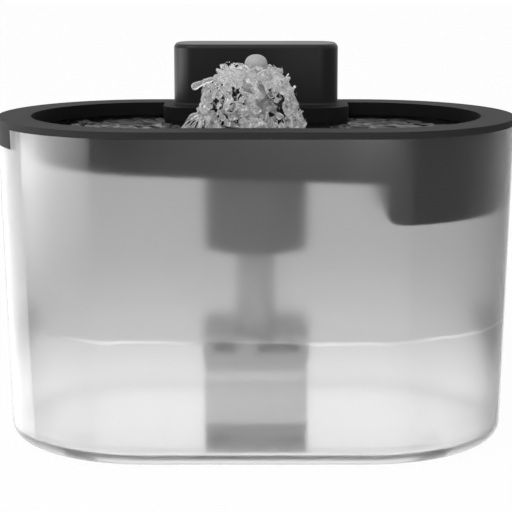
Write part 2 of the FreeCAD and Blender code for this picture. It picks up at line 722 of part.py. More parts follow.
def tray(dish):
    rim = stadium_block("rim", rim_radius, tank_top, rim_top)
    rib_bottom = tank_top - locating_rib_depth
    rib = cut("rib", stadium_block("rib_outside", rib_radius, rib_bottom, tank_top),
              stadium_block("rib_inside", rib_radius - locating_rib, rib_bottom, tank_top))
    tab_bottom = tank_top - notch_depth + fit_gap
    tab_ring = tube("tab_ring", tank_top_radius, tank_top_radius - tank_wall,
                    tank_top - tab_bottom, (-end_place, middle, tab_bottom))
    tab_block = block("tab_block", (-half_length, fit_gap - notch_half_width, tab_bottom),
                      (-end_place, notch_half_width - fit_gap, tank_top))
    tab = shared("tab", tab_ring, tab_block)
    plinth_low = (-plinth_half_width, plinth_front, rim_top - 2 * dish_depth)
    plinth_high = (plinth_half_width, rim_radius, rim_top)
    plinth = rounded_block("plinth", plinth_low, plinth_high, plinth_round)
    inside = dish_block("dish_inside", dish_radius, dish_wall, dish_round - dish_wall)
    water_space = cut("water_space", inside, plinth)
    hollow_low = (plinth_wall - plinth_half_width, plinth_front + plinth_wall, rim_top - 2 * dish_depth)
    hollow_high = (plinth_half_width - plinth_wall, dish_radius, tank_top)
    hollow = rounded_block("plinth_hollow", hollow_low, hollow_high, plinth_round - plinth_wall)
    filter_way = segment_block("filter_way", cartridge_radius + cartridge_play,
                               cartridge_chord - cartridge_play, housing_bottom, housing_drop)
    shell = cut("tray_shell", fuse("tray_blank", rim, dish, rib, tab),
                fuse("tray_hollows", water_space, hollow, filter_way))
    seal_outside = riser_radius + riser_seal_wall + riser_seal_play
    boss_bottom = rim_top - dish_depth + dish_wall / 2
    boss = rod("riser_boss", seal_outside + boss_wall, boss_top - boss_bottom,
               (middle, column_place, boss_bottom))
    bosses = [rod(f"board_boss_{number}", board_boss_radius, board_level, (x, y, rim_top))
              for number, (x, y) in enumerate(board_boss_places(), 1)]
    bores = [rod("riser_bore", seal_outside, housing_drop, (middle, column_place, housing_bottom)),
             rod("lead_bore", lead_radius + grommet_wall + grommet_play, rim_thickness,
                 (lead_place, lead_upright_place, tank_top))]
    bores += [rod(f"post_bore_{number}", screw_radius + screw_play, rim_thickness, (x, y, tank_top))
              for number, (x, y) in enumerate(post_places(), 1)]
    bores += [rod(f"board_pilot_{number}", board_screw_radius, board_level, (x, y, rim_top))
              for number, (x, y) in enumerate(board_boss_places(), 1)]
    whole = fuse("tray_whole", shell, boss, *bosses)
    return piece("tray", cut("tray_cut", whole, fuse("tray_bores", *bores)))


# Slots side by side across a filter part
def slots(name, count, start, low, height):
    """A row of slots that run from front to back."""
    made = []
    for number in range(count):
        left = start + number * slot_pitch
        reach = slot_reach - number * slot_pitch
        made.append(block(f"{name}_{number + 1}", (left, -reach, low),
                          (left + slot_width, reach, low + height)))
    return made


def housing_block(name, inset):
    """The filter housing's outline, smaller all round by an inset."""
    owner = feature_body(name)
    radius = housing_radius - inset
    chord = housing_chord + inset
    bottom = housing_bottom + inset
    outline = body_sketch(owner, name + "_outline", "XY_Plane", level=bottom)
    segment(outline, radius, chord)
    pad(owner, name + "_block", outline, tank_top - bottom)
    corner_reach = math.sqrt(radius.value ** 2 - (chord.value - end_place.value) ** 2)
    rounded(owner, name + "_corners", housing_corner - inset,
            lambda point: near(point.x, chord) and near(abs(point.y), corner_reach))
    rounded(owner, name + "_edges", housing_edge - inset, lambda point: near(point.z, bottom))
    return owner


def filter_housing(dish):
    shell = cut("housing_shell", housing_block("housing_outside", middle),
                housing_block("housing_inside", housing_wall))
    drains = slots("drain", HOUSING_DRAINS, cartridge_chord + slot_pitch, housing_bottom, housing_wall)
    return piece("filter_housing", cut("housing_cut", shell, fuse("housing_hollows", dish, *drains)))


def filter_frame():
    outside = segment_block("frame_outside", cartridge_radius, cartridge_chord, cartridge_bottom,
                            cartridge_height)
    inside = segment_block("frame_inside", cartridge_radius - cartridge_wall,
                           cartridge_chord + cartridge_wall, cartridge_bottom + cartridge_wall,
                           cartridge_height)
    floor_slots = slots("frame_slot", FRAME_SLOTS, cartridge_chord + slot_pitch, cartridge_bottom,
                        cartridge_wall)
    return piece("filter_frame", cut("frame_cut", outside, fuse("frame_hollows", inside, *floor_slots)))


def filter_media():
    radius = cartridge_radius - cartridge_wall - media_play
    chord = cartridge_chord + cartridge_wall + media_play
    bed_bottom = cartridge_bottom + cartridge_wall + media_play
    piece("carbon_bed", segment_block("carbon_bed_block", radius, chord, bed_bottom, bed_height))
    piece("filter_pad", segment_block("filter_pad_block", radius, chord,
                                      bed_bottom + bed_height + media_play, filter_pad_height))


def filter_cover():
    plate = segment_block("cover_plate", cartridge_radius - fit_gap, cartridge_chord + fit_gap,
                          cover_bottom, cover_height)
    cover_slots = slots("cover_slot", COVER_SLOTS, cartridge_chord + slot_pitch / 2, cover_bottom,
                        cover_height)
    finger_hole = rod("finger_hole", finger_hole_radius, cover_height,
                      (cartridge_chord + finger_hole_place, middle, cover_bottom))
    return piece("filter_cover", cut("cover_cut", plate, fuse("cover_hollows", finger_hole, *cover_slots)))


# Tower
def tower_shell():
    owner = feature_body("tower_body")
    bottom = rim_top + gasket_height
    roof = rim_top + tower_height
    outline = body_sketch(owner, "tower_outline", "XY_Plane", level=bottom)
    rounded_rectangle(outline, (-tower_half_width, tower_front), (tower_half_width, tower_back), tower_corner)
    pad(owner, "tower_block", outline, roof - bottom)
    rounded(owner, "tower_top_edge", tower_edge, lambda point: near(point.z, roof))
    room = body_sketch(owner, "tower_room", "XY_Plane", level=bottom)
    rounded_rectangle(room, (tower_wall - tower_half_width, tower_front + tower_wall),
                      (tower_half_width - tower_wall, tower_back - tower_wall), tower_corner - tower_wall)
    pocket(owner, "tower_hollow", room, length=roof - bottom - tower_wall, flip=True)
    posts = [rod(f"post_{number}", post_radius, roof - bottom - tower_wall / 2, (x, y, bottom))
             for number, (x, y) in enumerate(post_places(), 1)]
    pilot_length = screw_length - rim_thickness
    pilots = [rod(f"pilot_{number}", screw_radius, pilot_length, (x, y, bottom))
              for number, (x, y) in enumerate(post_places(), 1)]
    mouth = rod("inlet_mouth", inlet_radius + inlet_seal_wall, tower_wall,
                (inlet_place, tower_back - tower_wall, inlet_level()), BACKWARD)
    whole = fuse("tower_whole", owner, *posts)
    return piece("tower_shell", cut("tower_cut", whole, fuse("tower_holes", mouth, *pilots)))


def tower_gasket():
    low = (-tower_half_width, tower_front, rim_top)
    high = (tower_half_width, tower_back, rim_top + gasket_height)
    inner_low = (tower_wall - tower_half_width, tower_front + tower_wall, rim_top)
    inner_high = (tower_half_width - tower_wall, tower_back - tower_wall, rim_top + gasket_height)
    ring = cut("gasket_ring", rounded_block("gasket_outside", low, high, tower_corner),
               rounded_block("gasket_inside", inner_low, inner_high, tower_corner - tower_wall))
    return piece("tower_gasket", ring)


def tower_screws():
    made = []
    for number, (x, y) in enumerate(post_places(), 1):
        head = rod(f"screw_head_{number}", screw_head_radius, screw_head_height,
                   (x, y, tank_top - screw_head_height))
        thread = rod(f"screw_thread_{number}", screw_radius, screw_length - screw_play, (x, y, tank_top))
        made.append(fuse(f"screw_{number}", head, thread))
    return piece("tower_screws", group("tower_screws_group", *made))


def inlet_level():
    """Height of the power inlet's axis, whose case stands on the board."""
    return board_bottom + board_thickness + inlet_width / 2


def board_span():
    """Front and back edges of the board."""
    centre = tower_front + tower_depth / 2
    return centre - board_depth / 2, centre + board_depth / 2


def control_board():
    front, back = board_span()
    board = block("board_block", (-board_half_width, front, board_bottom),
                  (board_half_width, back, board_bottom + board_thickness))
    holes = [rod(f"board_hole_{number}", board_screw_radius + screw_play, board_thickness,
                 (x, y, board_bottom)) for number, (x, y) in enumerate(board_boss_places(), 1)]
    drilled = cut("board_cut", board, fuse("board_holes", *holes))
    chip_bottom = board_bottom + board_thickness
    chip = block("board_chip", (chip_place, front + chip_inset, chip_bottom),
                 (chip_place + chip_width, front + chip_inset + chip_depth, chip_bottom + chip_height))
    return piece("control_board", fuse("board_whole", drilled, chip))


def board_screws():
    made = []
    top = board_bottom + board_thickness
    for number, (x, y) in enumerate(board_boss_places(), 1):
        head = rod(f"board_screw_head_{number}", board_screw_head, board_screw_head_height, (x, y, top))
        thread = rod(f"board_screw_thread_{number}", board_screw_radius, board_thickness + board_screw_grip,
                     (x, y, board_bottom - board_screw_grip))
        made.append(fuse(f"board_screw_{number}", head, thread))
    return piece("board_screws", group("board_screws_group", *made))


def power_inlet():
    bottom = board_bottom + board_thickness
    back = tower_back - tower_wall
    case = block("inlet_case", (inlet_place - inlet_width / 2, back - inlet_width, bottom),
                 (inlet_place + inlet_width / 2, back - fit_gap, bottom + inlet_width))
    nose = rod("inlet_nose", inlet_radius, tower_wall + fit_gap,
               (inlet_place, back - fit_gap, inlet_level()), BACKWARD)
    mouth = rod("inlet_bore", inlet_hole_radius, inlet_width,
                (inlet_place, tower_back - inlet_width + fit_gap, inlet_level()), BACKWARD)
    pin = rod("inlet_pin", inlet_pin_radius, inlet_width - fit_gap,
              (inlet_place, tower_back - inlet_width, inlet_level()), BACKWARD)
    hollow = cut("inlet_hollow", fuse("inlet_blank", case, nose), mouth)
    return piece("power_inlet", fuse("inlet_whole", hollow, pin))


def inlet_seal():
    ring = tube("inlet_seal_ring", inlet_radius + inlet_seal_wall, inlet_radius, tower_wall,
                (inlet_place, tower_back - tower_wall, inlet_level()), BACKWARD)
    return piece("inlet_seal", ring)


# Column
def riser():
    bottom = box_body_top + fit_gap
    return piece("riser_tube", tube("riser_pipe", riser_radius, riser_radius - riser_wall, riser_top - bottom,
                                    (middle, column_place, bottom)))


def riser_seal():
    bottom = rim_top - dish_depth
    ring = tube("riser_seal_ring", riser_radius + riser_seal_wall, riser_radius, boss_top - bottom,
                (middle, column_place, bottom))
    return piece("riser_seal", ring)


def riser_sleeve(dish):
    collar = tube("sleeve_collar", sleeve_radius, sleeve_radius - sleeve_wall,
                  sleeve_drop - dish_depth + dish_fall, (middle, column_place, sleeve_end))
    return piece("riser_sleeve", cut("sleeve_cut", collar, dish))


def nozzle():
    owner = feature_body("nozzle_body")
    socket_bore = riser_radius + fit_gap
    socket_bottom = riser_top - socket_depth
    socket_roof = riser_top + fit_gap
    cone_bottom = socket_roof + socket_wall
    stem_bottom = cone_bottom + socket_cone
    head_top = rim_top + nozzle_top
    head_bottom = head_top - nozzle_head_height
    neck_bottom = head_bottom - nozzle_neck_height
    profile = body_sketch(owner, "nozzle_profile", "XZ_Plane")
    polygon(profile, [
        (socket_bore, socket_bottom),
        (socket_bore + socket_wall, socket_bottom),
        (socket_bore + socket_wall, cone_bottom),
        (nozzle_radius, stem_bottom),
        (nozzle_radius, neck_bottom),
        (nozzle_neck_radius, neck_bottom),
        (nozzle_neck_radius, head_bottom),
        (nozzle_radius, head_bottom),
        (nozzle_radius, head_top),
        (middle, head_top),
        (middle, head_top - nozzle_roof),
        (nozzle_bore, head_top - nozzle_roof),
        (nozzle_bore, socket_roof + socket_wall),
        (riser_radius - riser_wall, socket_roof),
        (socket_bore, socket_roof),
    ])
    turned(owner, "nozzle_turned", profile)
    rounded(owner, "nozzle_head_rounding", nozzle_dome, lambda point: near(point.z, head_top)
            and near(math.hypot(point.x, point.y), nozzle_radius))
    outlet_level = neck_bottom + nozzle_neck_height / 2
    for name, role in (("side_outlets", "YZ_Plane"), ("front_outlets", "XZ_Plane")):
        sketch = body_sketch(owner, name + "_outline", role)
        circle(sketch, (middle, outlet_level), nozzle_outlet_radius)
        pocket(owner, name, sketch, both=True)
    at(owner, y=column_place)
    return piece("nozzle", owner)


# Pump box
def box_outline(name, beyond, low, height):
    """The box's outline, larger by a margin, raised over a height."""
    return rounded_block(name, (-box_half_width - beyond, column_place - box_front - beyond, low),
                         (box_half_width + beyond, column_place + box_back + beyond, low + height),
                         box_corner + beyond)


def pump_box_base():
    outside = box_outline("base_outside", middle, box_floor, base_height)
    inside = box_outline("base_inside", -box_wall, box_floor + base_floor, base_height)
    holes = [rod(f"cup_hole_{number}", cup_stud_radius, base_floor, (x, y, box_floor))
             for number, (x, y) in enumerate(cup_places(), 1)]
    return piece("pump_box_base", cut("base_cut", outside, fuse("base_hollows", inside, *holes)))


def cup_places():
    side = box_half_width - cup_inset / 2 - box_wall
    return [(along * side, across) for along in (-1, 1)
            for across in (column_place - box_front + cup_inset, column_place + box_back - cup_inset)]


def suction_cups():
    made = []
    for number, (x, y) in enumerate(cup_places(), 1):
        cup = rod(f"cup_disc_{number}", cup_radius, cup_height, (x, y, floor_top + fit_gap))
        stud = rod(f"cup_stud_{number}", cup_stud_radius, cup_height + base_floor,
                   (x, y, floor_top + fit_gap))
        made.append(fuse(f"cup_{number}", cup, stud))
    return piece("suction_cups", group("suction_cups_group", *made))


def pump_box_body():
    outside = box_outline("body_outside", middle, box_body_bottom, body_height)
    inside = box_outline("body_inside", -box_wall, box_body_bottom, body_height)
    gland_bore = rod("gland_bore", lead_radius + grommet_wall, box_wall,
                     (lead_place, column_place + box_back - box_wall, box_floor + lead_level), BACKWARD)
    return piece("pump_box_body", cut("body_cut", outside, fuse("body_hollows", inside, gland_bore)))


def strainer_lid():
    bottom = box_body_top + fit_gap
    outside = box_outline("lid_outside", lid_overhang, bottom, lid_height)
    inside = box_outline("lid_inside", lid_overhang - box_wall, bottom, lid_height - box_wall)
    hole = rod("lid_hole", riser_radius + fit_gap, lid_height, (middle, column_place, bottom))
    top = bottom + lid_height
    slot_top = top - lid_slot_drop
    front = column_place - box_front - 2 * lid_overhang
    back = column_place + box_back + 2 * lid_overhang
    across = [(-left_slot_reach, left_slot_width - left_slot_reach),
              (right_slot_reach - right_slot_width, right_slot_reach)]
    slot_bottom = slot_top - lid_slot_height
    openings = [block(f"lid_slot_{number}", (left, front, slot_bottom), (right, back, slot_top))
                for number, (left, right) in enumerate(across, 1)]
    beside = box_half_width + 2 * lid_overhang
    openings.append(block("lid_side_slot", (-beside, column_place - side_slot_front, slot_bottom),
                          (beside, column_place + side_slot_back, slot_top)))
    walls = cut("lid_walls", outside, fuse("lid_hollows", inside, hole, *openings))
    return piece("strainer_lid", walls)


def pre_filter_sponge():
    bottom = box_body_top + fit_gap
    pad_block = box_outline("sponge_block", -box_wall, bottom, sponge_height)
    hole = rod("sponge_hole", riser_radius + fit_gap, sponge_height, (middle, column_place, bottom))
    return piece("pre_filter_sponge", cut("sponge_cut", pad_block, hole))


# Pump
def pump_housing():
    outside = block("motor_outside", (-pump_half_width, volute_back, pump_bottom),
                    (pump_half_width, motor_back, pump_bottom + pump_height))
    inside = block("motor_inside",
                   (pump_wall - pump_half_width, volute_back + pump_wall, pump_bottom + pump_wall),
                   (pump_half_width - pump_wall, motor_back, pump_bottom + pump_height - pump_wall))
    chamber = rod("chamber_outside", chamber_radius + chamber_wall, chamber_length + chamber_wall,
                  (middle, volute_back, rotor_axis), BACKWARD)
    rear_seat = rod("rear_seat", bushing_radius + chamber_wall, bushing_length + chamber_wall,
                    (middle, volute_back + chamber_length, rotor_axis), BACKWARD)
    chamber_bore = rod("chamber_bore", chamber_radius, chamber_length,
                       (middle, volute_back, rotor_axis), BACKWARD)
    seat_bore = rod("seat_bore", bushing_radius, bushing_length,
                    (middle, volute_back + chamber_length, rotor_axis), BACKWARD)
    groove = tube("seal_groove", seal_radius + seal_width, seal_radius, seal_width,
                  (middle, volute_back, rotor_axis), BACKWARD)
    pilots = [rod(f"cover_pilot_{number}", pump_screw_radius, pump_pilot_depth, (x, volute_back, z), BACKWARD)
              for number, (x, z) in enumerate(pump_screw_places(), 1)]
    bosses = [rod(f"cover_boss_{number}", pump_screw_head, pump_boss_length, (x, volute_back, z), BACKWARD)
              for number, (x, z) in enumerate(pump_screw_places(), 1)]
    casing = cut("motor_casing", outside, inside)
    whole = fuse("motor_whole", casing, chamber, rear_seat, *bosses)
    bores = fuse("motor_bores", chamber_bore, seat_bore, groove, *pilots)
    return piece("pump_housing", cut("motor_cut", whole, bores))


def pump_screw_places():
    """Corners of the pump's front cover where its screws stand."""
    return [(along * pump_screw_reach, rotor_axis + across * pump_screw_rise)
            for along in (-1, 1) for across in (-1, 1)]


def pump_cover():
    front = volute_front - volute_wall
    bottom = rotor_axis - cover_half_width
    top = box_body_top
    outside = block("cover_block", (-cover_half_width, front, bottom), (cover_half_width, volute_back, top))
    cavity = rod("volute_cavity", volute_radius, volute_depth, (middle, volute_front, rotor_axis), BACKWARD)
    inlet = tube("volute_inlet", volute_inlet, bushing_radius + chamber_wall, volute_wall,
                 (middle, front, rotor_axis), BACKWARD)
    spokes = [block("spoke_upright", (-spoke_width / 2, front, rotor_axis - volute_inlet),
                    (spoke_width / 2, volute_front, rotor_axis + volute_inlet)),
              block("spoke_level", (-volute_inlet, front, rotor_axis - spoke_width / 2),
                    (volute_inlet, volute_front, rotor_axis + spoke_width / 2))]
    eye = cut("volute_eye", inlet, fuse("spokes", *spokes))
    seat = rod("front_seat", bushing_radius, bushing_length,
               (middle, volute_front - bushing_length, rotor_axis), BACKWARD)
    spigot = rod("spigot", spigot_radius, spigot_height, (middle, column_place, top))
    way = rod("spigot_way", spigot_bore, top + spigot_height - rotor_axis, (middle, column_place, rotor_axis))
    holes = [rod(f"cover_hole_{number}", pump_screw_radius + screw_play, volute_depth + volute_wall,
                 (x, front, z), BACKWARD) for number, (x, z) in enumerate(pump_screw_places(), 1)]
    whole = fuse("cover_whole", outside, spigot)
    return piece("pump_cover", cut("pump_cover_cut", whole,
                                   fuse("pump_cover_hollows", cavity, eye, seat, way, *holes)))


def pump_seal():
    ring = tube("pump_seal_ring", seal_radius + seal_width, seal_radius, seal_width,
                (middle, volute_back, rotor_axis), BACKWARD)
    return piece("pump_seal", ring)


def pump_screws():
    made = []
    front = volute_front - volute_wall
    for number, (x, z) in enumerate(pump_screw_places(), 1):
        head = rod(f"pump_screw_head_{number}", pump_screw_head, pump_screw_head_height,
                   (x, front - pump_screw_head_height, z), BACKWARD)
        thread = rod(f"pump_screw_thread_{number}", pump_screw_radius,
                     volute_back - front + pump_screw_grip, (x, front, z), BACKWARD)
        made.append(fuse(f"pump_screw_{number}", head, thread))
    return piece("pump_screws", group("pump_screws_group", *made))


def pump_back_cover():
    plate = block("back_plate", (-pump_half_width, motor_back, pump_bottom),
                  (pump_half_width, motor_back + back_cover_thickness, pump_bottom + pump_height))
    exit_hole = rod("lead_exit", lead_radius, back_cover_thickness,
                    (lead_place, motor_back, box_floor + lead_level), BACKWARD)
    return piece("pump_back_cover", cut("back_plate_cut", plate, exit_hole))


def stator():
    inner = chamber_radius + chamber_wall + core_play
    outer = inner + core_leg
    front = volute_back + pump_wall + core_play + coil_wall
    back = front + core_thickness
    bottom = pump_bottom + pump_wall + core_play + coil_wall
    top = rotor_axis + chamber_radius
    yoke_top = bottom + core_yoke
    legs = [block(f"core_leg_{number}", (left, front, bottom), (right, back, top))
            for number, (left, right) in enumerate(((-outer, -inner), (inner, outer)), 1)]
    yoke = block("core_yoke", (-outer, front, bottom), (outer, back, yoke_top))
    piece("stator_core", fuse("core_whole", yoke, *legs))
    winding = block("coil_outside", (-coil_half_width, front - coil_wall, bottom - coil_wall),
                    (coil_half_width, back + coil_wall, yoke_top + coil_wall))
    window = block("coil_window", (-coil_half_width, front, bottom), (coil_half_width, back, yoke_top))
    piece("coil", cut("coil_cut", winding, window))


def rotor():
    hub_front = volute_front + fit_gap
    vane_back = hub_front + vane_length
    magnet_front = volute_back + 2 * fit_gap
    magnet_back = magnet_front + magnet_length
    hub = rod("impeller_hub", hub_radius, magnet_back - hub_front, (middle, hub_front, rotor_axis), BACKWARD)
    disc = rod("impeller_disc", vane_reach, vane_width, (middle, vane_back, rotor_axis), BACKWARD)
    vanes = []
    for number in range(VANE_PAIRS):
        vane = doc.addObject("Part::Box", f"vane_pair_{number + 1}")
        turn = Rotation(Vector(0, 1, 0), 180 / VANE_PAIRS * number)
        corner = turn.multVec(Vector(1, 0, 0))
        edge = turn.multVec(Vector(0, 0, 1))
        vane.Placement = Placement(Vector(), turn)
        bound(vane, Length=2 * vane_reach, Width=vane_length, Height=vane_width)
        at(vane, -vane_reach * corner.x - vane_width / 2 * edge.x, hub_front,
           rotor_axis - vane_reach * corner.z - vane_width / 2 * edge.z)
        vanes.append(vane)
    bore = rod("impeller_bore", shaft_radius + running_gap, magnet_back - hub_front,
               (middle, hub_front, rotor_axis), BACKWARD)
    piece("impeller", cut("impeller_cut", fuse("impeller_whole", hub, disc, *vanes), bore))
    piece("rotor_magnet", tube("magnet_ring", magnet_radius, hub_radius + hub_play, magnet_length,
                               (middle, magnet_front, rotor_axis), BACKWARD))


def shaft():
    start = volute_front - bushing_length
    end = volute_back + chamber_length + bushing_length
    piece("shaft", rod("shaft_rod", shaft_radius, end - start, (middle, start, rotor_axis), BACKWARD))
    for node, place in (("front_bushing", start), ("rear_bushing", end - bushing_length)):
        piece(node, tube(node + "_ring", bushing_radius, shaft_radius, bushing_length,
                         (middle, place, rotor_axis), BACKWARD))


# Lead: one straight run back from the pump, one bend and one straight run up into the tower
def pump_lead():
    level = (box_floor + lead_level).value
    start = (motor_back + back_cover_thickness / 2).value
    upright = lead_upright_place.value
    bend = lead_bend.value
    top = (board_bottom - connector_height).value
    along = lead_place.value
    middle_of_bend = Vector(along, upright - bend + bend * math.sin(math.pi / 4),
                            level + bend - bend * math.cos(math.pi / 4))
    points = [Vector(along, start, level), Vector(along, upright - bend, level), middle_of_bend,
              Vector(along, upright, level + bend), Vector(along, upright, top)]
    runs = [Part.LineSegment(points[0], points[1]).toShape(),
            Part.Arc(points[1], points[2], points[3]).toShape(),
            Part.LineSegment(points[3], points[4]).toShape()]
    path = Part.Wire(runs)
    section = Part.Wire(Part.makeCircle(lead_radius.value, points[0], Vector(0, 1, 0)))
    solid = path.makePipeShell([section], True, False)
    expected = math.pi * lead_radius.value ** 2 * path.Length
    print(f"pump lead: {path.Length:.1f} mm long, bend radius {bend:.1f} mm, "
          f"volume {solid.Volume:.1f} against {expected:.1f}")
    made = doc.addObject("Part::Feature", "pump_lead_tube")
    made.Shape = solid
    return piece("pump_lead", made)


def lead_fittings():
    flange_radius = lead_radius + grommet_wall + grommet_flange
    collar = rod("grommet_collar", lead_radius + grommet_wall, rim_thickness,
                 (lead_place, lead_upright_place, tank_top))
    upper = rod("grommet_upper", flange_radius, grommet_flange, (lead_place, lead_upright_place, rim_top))
    lower = rod("grommet_lower", flange_radius, grommet_flange,
                (lead_place, lead_upright_place, tank_top - grommet_flange))
    bore = rod("grommet_bore", lead_radius, rim_thickness + 2 * grommet_flange,
               (lead_place, lead_upright_place, tank_top - grommet_flange))
    piece("lead_grommet", cut("grommet_cut", fuse("grommet_whole", collar, upper, lower), bore))
    back = column_place + box_back
    level = box_floor + lead_level
    neck = rod("gland_neck", lead_radius + grommet_wall, box_wall,
               (lead_place, back - box_wall, level), BACKWARD)
    nut = rod("gland_nut", flange_radius, gland_length, (lead_place, back, level), BACKWARD)
    passage = rod("gland_passage", lead_radius, box_wall + gland_length, (lead_place, back - box_wall, level),
                  BACKWARD)
    piece("lead_gland", cut("gland_cut", fuse("gland_whole", neck, nut), passage))
    bottom = board_bottom - connector_height
    low = (lead_place - connector_half_width, lead_upright_place - connector_front, bottom)
    high = (lead_place + connector_half_width, lead_upright_place + connector_back, board_bottom)
    piece("lead_connector", block("connector_block", low, high))


# The whole fountain
tray_dish = dish_block("dish_outside", dish_radius + dish_wall, middle, dish_round)
tank()
tank_feet()
tray(tray_dish)
filter_housing(tray_dish)
filter_frame()
filter_media()
filter_cover()
tower_shell()
tower_gasket()
tower_screws()
control_board()
board_screws()
power_inlet()
inlet_seal()
riser()
riser_seal()
riser_sleeve(tray_dish)
nozzle()
pump_box_base()
suction_cups()
pump_box_body()
strainer_lid()
pre_filter_sponge()
pump_housing()
pump_cover()
pump_seal()
pump_screws()
pump_back_cover()
stator()
rotor()
shaft()
pump_lead()
lead_fittings()
doc.recompute()

faults = [made.Label for made in doc.Objects if "Invalid" in made.State or "Error" in made.State]
for node, made in pieces.items():
    if made.Shape.isNull() or not made.Shape.isValid() or not made.Shape.Solids:
        faults.append(node)
if faults:
    raise SystemExit("not sound: " + ", ".join(sorted(set(faults))))

os.makedirs("parts", exist_ok=True)
for node, made in pieces.items():
    made.Shape.exportStep(f"parts/{node}.step")
    solids = len(made.Shape.Solids)
    print(f"{node}: {solids} solid{'s' if solids > 1 else ''}, {made.Shape.Volume / 1000:.2f} cm3")
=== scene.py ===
# %% [markdown]
# A pet water fountain, finished in Blender
#
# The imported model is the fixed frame: every piece of plastic, rubber and metal already has its real
# size and place. This lesson adds what the construction leaves out, which is water and finishes:
# the smoke-grey frosted tank, fine-grained charcoal plastic, ripples in the dish, a splash around
# the nozzle and the small textures of the pieces inside.

# %% Load the frame
import json
import math
import random

import bpy
import bmesh
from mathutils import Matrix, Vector, noise

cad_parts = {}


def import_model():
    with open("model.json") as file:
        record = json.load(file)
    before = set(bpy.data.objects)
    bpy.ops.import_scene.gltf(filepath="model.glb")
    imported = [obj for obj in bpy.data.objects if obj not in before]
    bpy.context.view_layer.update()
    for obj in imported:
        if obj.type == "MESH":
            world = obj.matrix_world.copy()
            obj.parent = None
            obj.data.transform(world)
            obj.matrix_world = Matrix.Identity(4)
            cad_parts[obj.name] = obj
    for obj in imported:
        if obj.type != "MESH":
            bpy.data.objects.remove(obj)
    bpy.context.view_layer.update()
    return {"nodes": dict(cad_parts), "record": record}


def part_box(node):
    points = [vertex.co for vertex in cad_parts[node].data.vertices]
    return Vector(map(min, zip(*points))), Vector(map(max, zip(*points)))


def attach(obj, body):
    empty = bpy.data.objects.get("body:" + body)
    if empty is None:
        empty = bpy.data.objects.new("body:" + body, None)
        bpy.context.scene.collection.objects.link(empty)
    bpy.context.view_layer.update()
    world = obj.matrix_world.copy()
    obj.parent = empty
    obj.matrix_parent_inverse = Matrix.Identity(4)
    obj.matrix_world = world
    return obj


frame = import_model()
nodes = frame["nodes"]
scene = bpy.context.scene
MM = 0.001

# %% [markdown]
# Sizes read from the frame
#
# The water has to fit the tank and the dish, so its sizes come from the boxes of their nodes. Both
# have the same plan: two half circles joined by straight sides. One number, half the distance
# between the centres of the half circles, then gives every outline as a radius around one line.
# A box says nothing about a wall or a floor inside it, so those few are written as real sizes.

# %% Sizes
tank_low, tank_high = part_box("tank")
tray_low, tray_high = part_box("tray")
nozzle_low, nozzle_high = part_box("nozzle")
rim_radius = tray_high.y
end_place = tray_high.x - rim_radius
rim_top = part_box("tower_gasket")[0].z
column = Vector((0, (nozzle_low.y + nozzle_high.y) / 2, 0))
DISH_RADIUS = rim_radius - 15 * MM
DISH_WATER = rim_top - 6.4 * MM
TANK_WALL = 2.5 * MM
TANK_FLOOR = tank_low.z + 4.5 * MM
TANK_WATER = TANK_FLOOR + 50.5 * MM
TANK_BOTTOM_RADIUS = 64 * MM
TANK_TOP_RADIUS = 67.7 * MM
print("rim at", round(rim_top / MM, 1), "mm, column at y", round(column.y / MM, 1), "mm")

# %% [markdown]
# Shader maths as sums
#
# A material is a small network of nodes. Written socket by socket it hides the idea, so a Signal
# wraps one output socket and turns Python's own signs into Math nodes: `0.3 + 0.1 * grain` reads as
# what it does. Any other node comes from one method, which sets its options before its sockets. The
# same two classes serve the materials, the world and the Geometry Nodes of the splash.


# %% Signal and Network
class Signal:
    """One output socket that can stand in a sum."""

    def __init__(self, network, socket):
        self.network = network
        self.socket = socket

    def maths(self, operation, one, other=0.0):
        return self.network.node("ShaderNodeMath", {"operation": operation}, {0: one, 1: other})

    def __add__(self, other):
        return self.maths("ADD", self, other)

    def __sub__(self, other):
        return self.maths("SUBTRACT", self, other)

    def __rsub__(self, other):
        return self.maths("SUBTRACT", other, self)

    def __mul__(self, other):
        return self.maths("MULTIPLY", self, other)

    __radd__ = __add__
    __rmul__ = __mul__

    def absolute(self):
        return self.maths("ABSOLUTE", self)

    def at_least(self, other):
        return self.maths("MAXIMUM", self, other)

    def root(self):
        return self.maths("SQRT", self)


class Network:
    """A node tree whose nodes all come from one method."""

    def __init__(self, tree):
        self.tree = tree

    def node(self, kind, settings=None, sockets=None, output=0):
        """Make a node and give back the Signal of one of its outputs, if it has any."""
        made = self.tree.nodes.new(kind)
        for name, value in (settings or {}).items():
            if name == "stops":
                self.place_stops(made.color_ramp.elements, value)
            else:
                setattr(made, name, value)
        for name, value in (sockets or {}).items():
            self.feed(made.inputs[name], value)
        return Signal(self, made.outputs[output]) if made.outputs else None

    def place_stops(self, elements, pairs):
        while len(elements) < len(pairs):
            elements.new(0.5)
        for element, (position, tone) in zip(elements, pairs):
            element.position = position
            element.color = (tone, tone, tone, 1)

    def feed(self, socket, value):
        """Link a Signal or set a plain value; a colour gets its fourth number here."""
        if isinstance(value, Signal):
            self.tree.links.new(value.socket, socket)
        elif socket.type == "RGBA":
            socket.default_value = (*value, 1)
        else:
            socket.default_value = value


# %% [markdown]
# A finish is a material around one Principled shader
#
# Most finishes here differ only in what they feed to the same shader, so the patterns that they
# share are methods of one class. Every pattern reads the object's own coordinates, in metres. It
# then keeps its real scale on each piece, and moves with the piece.


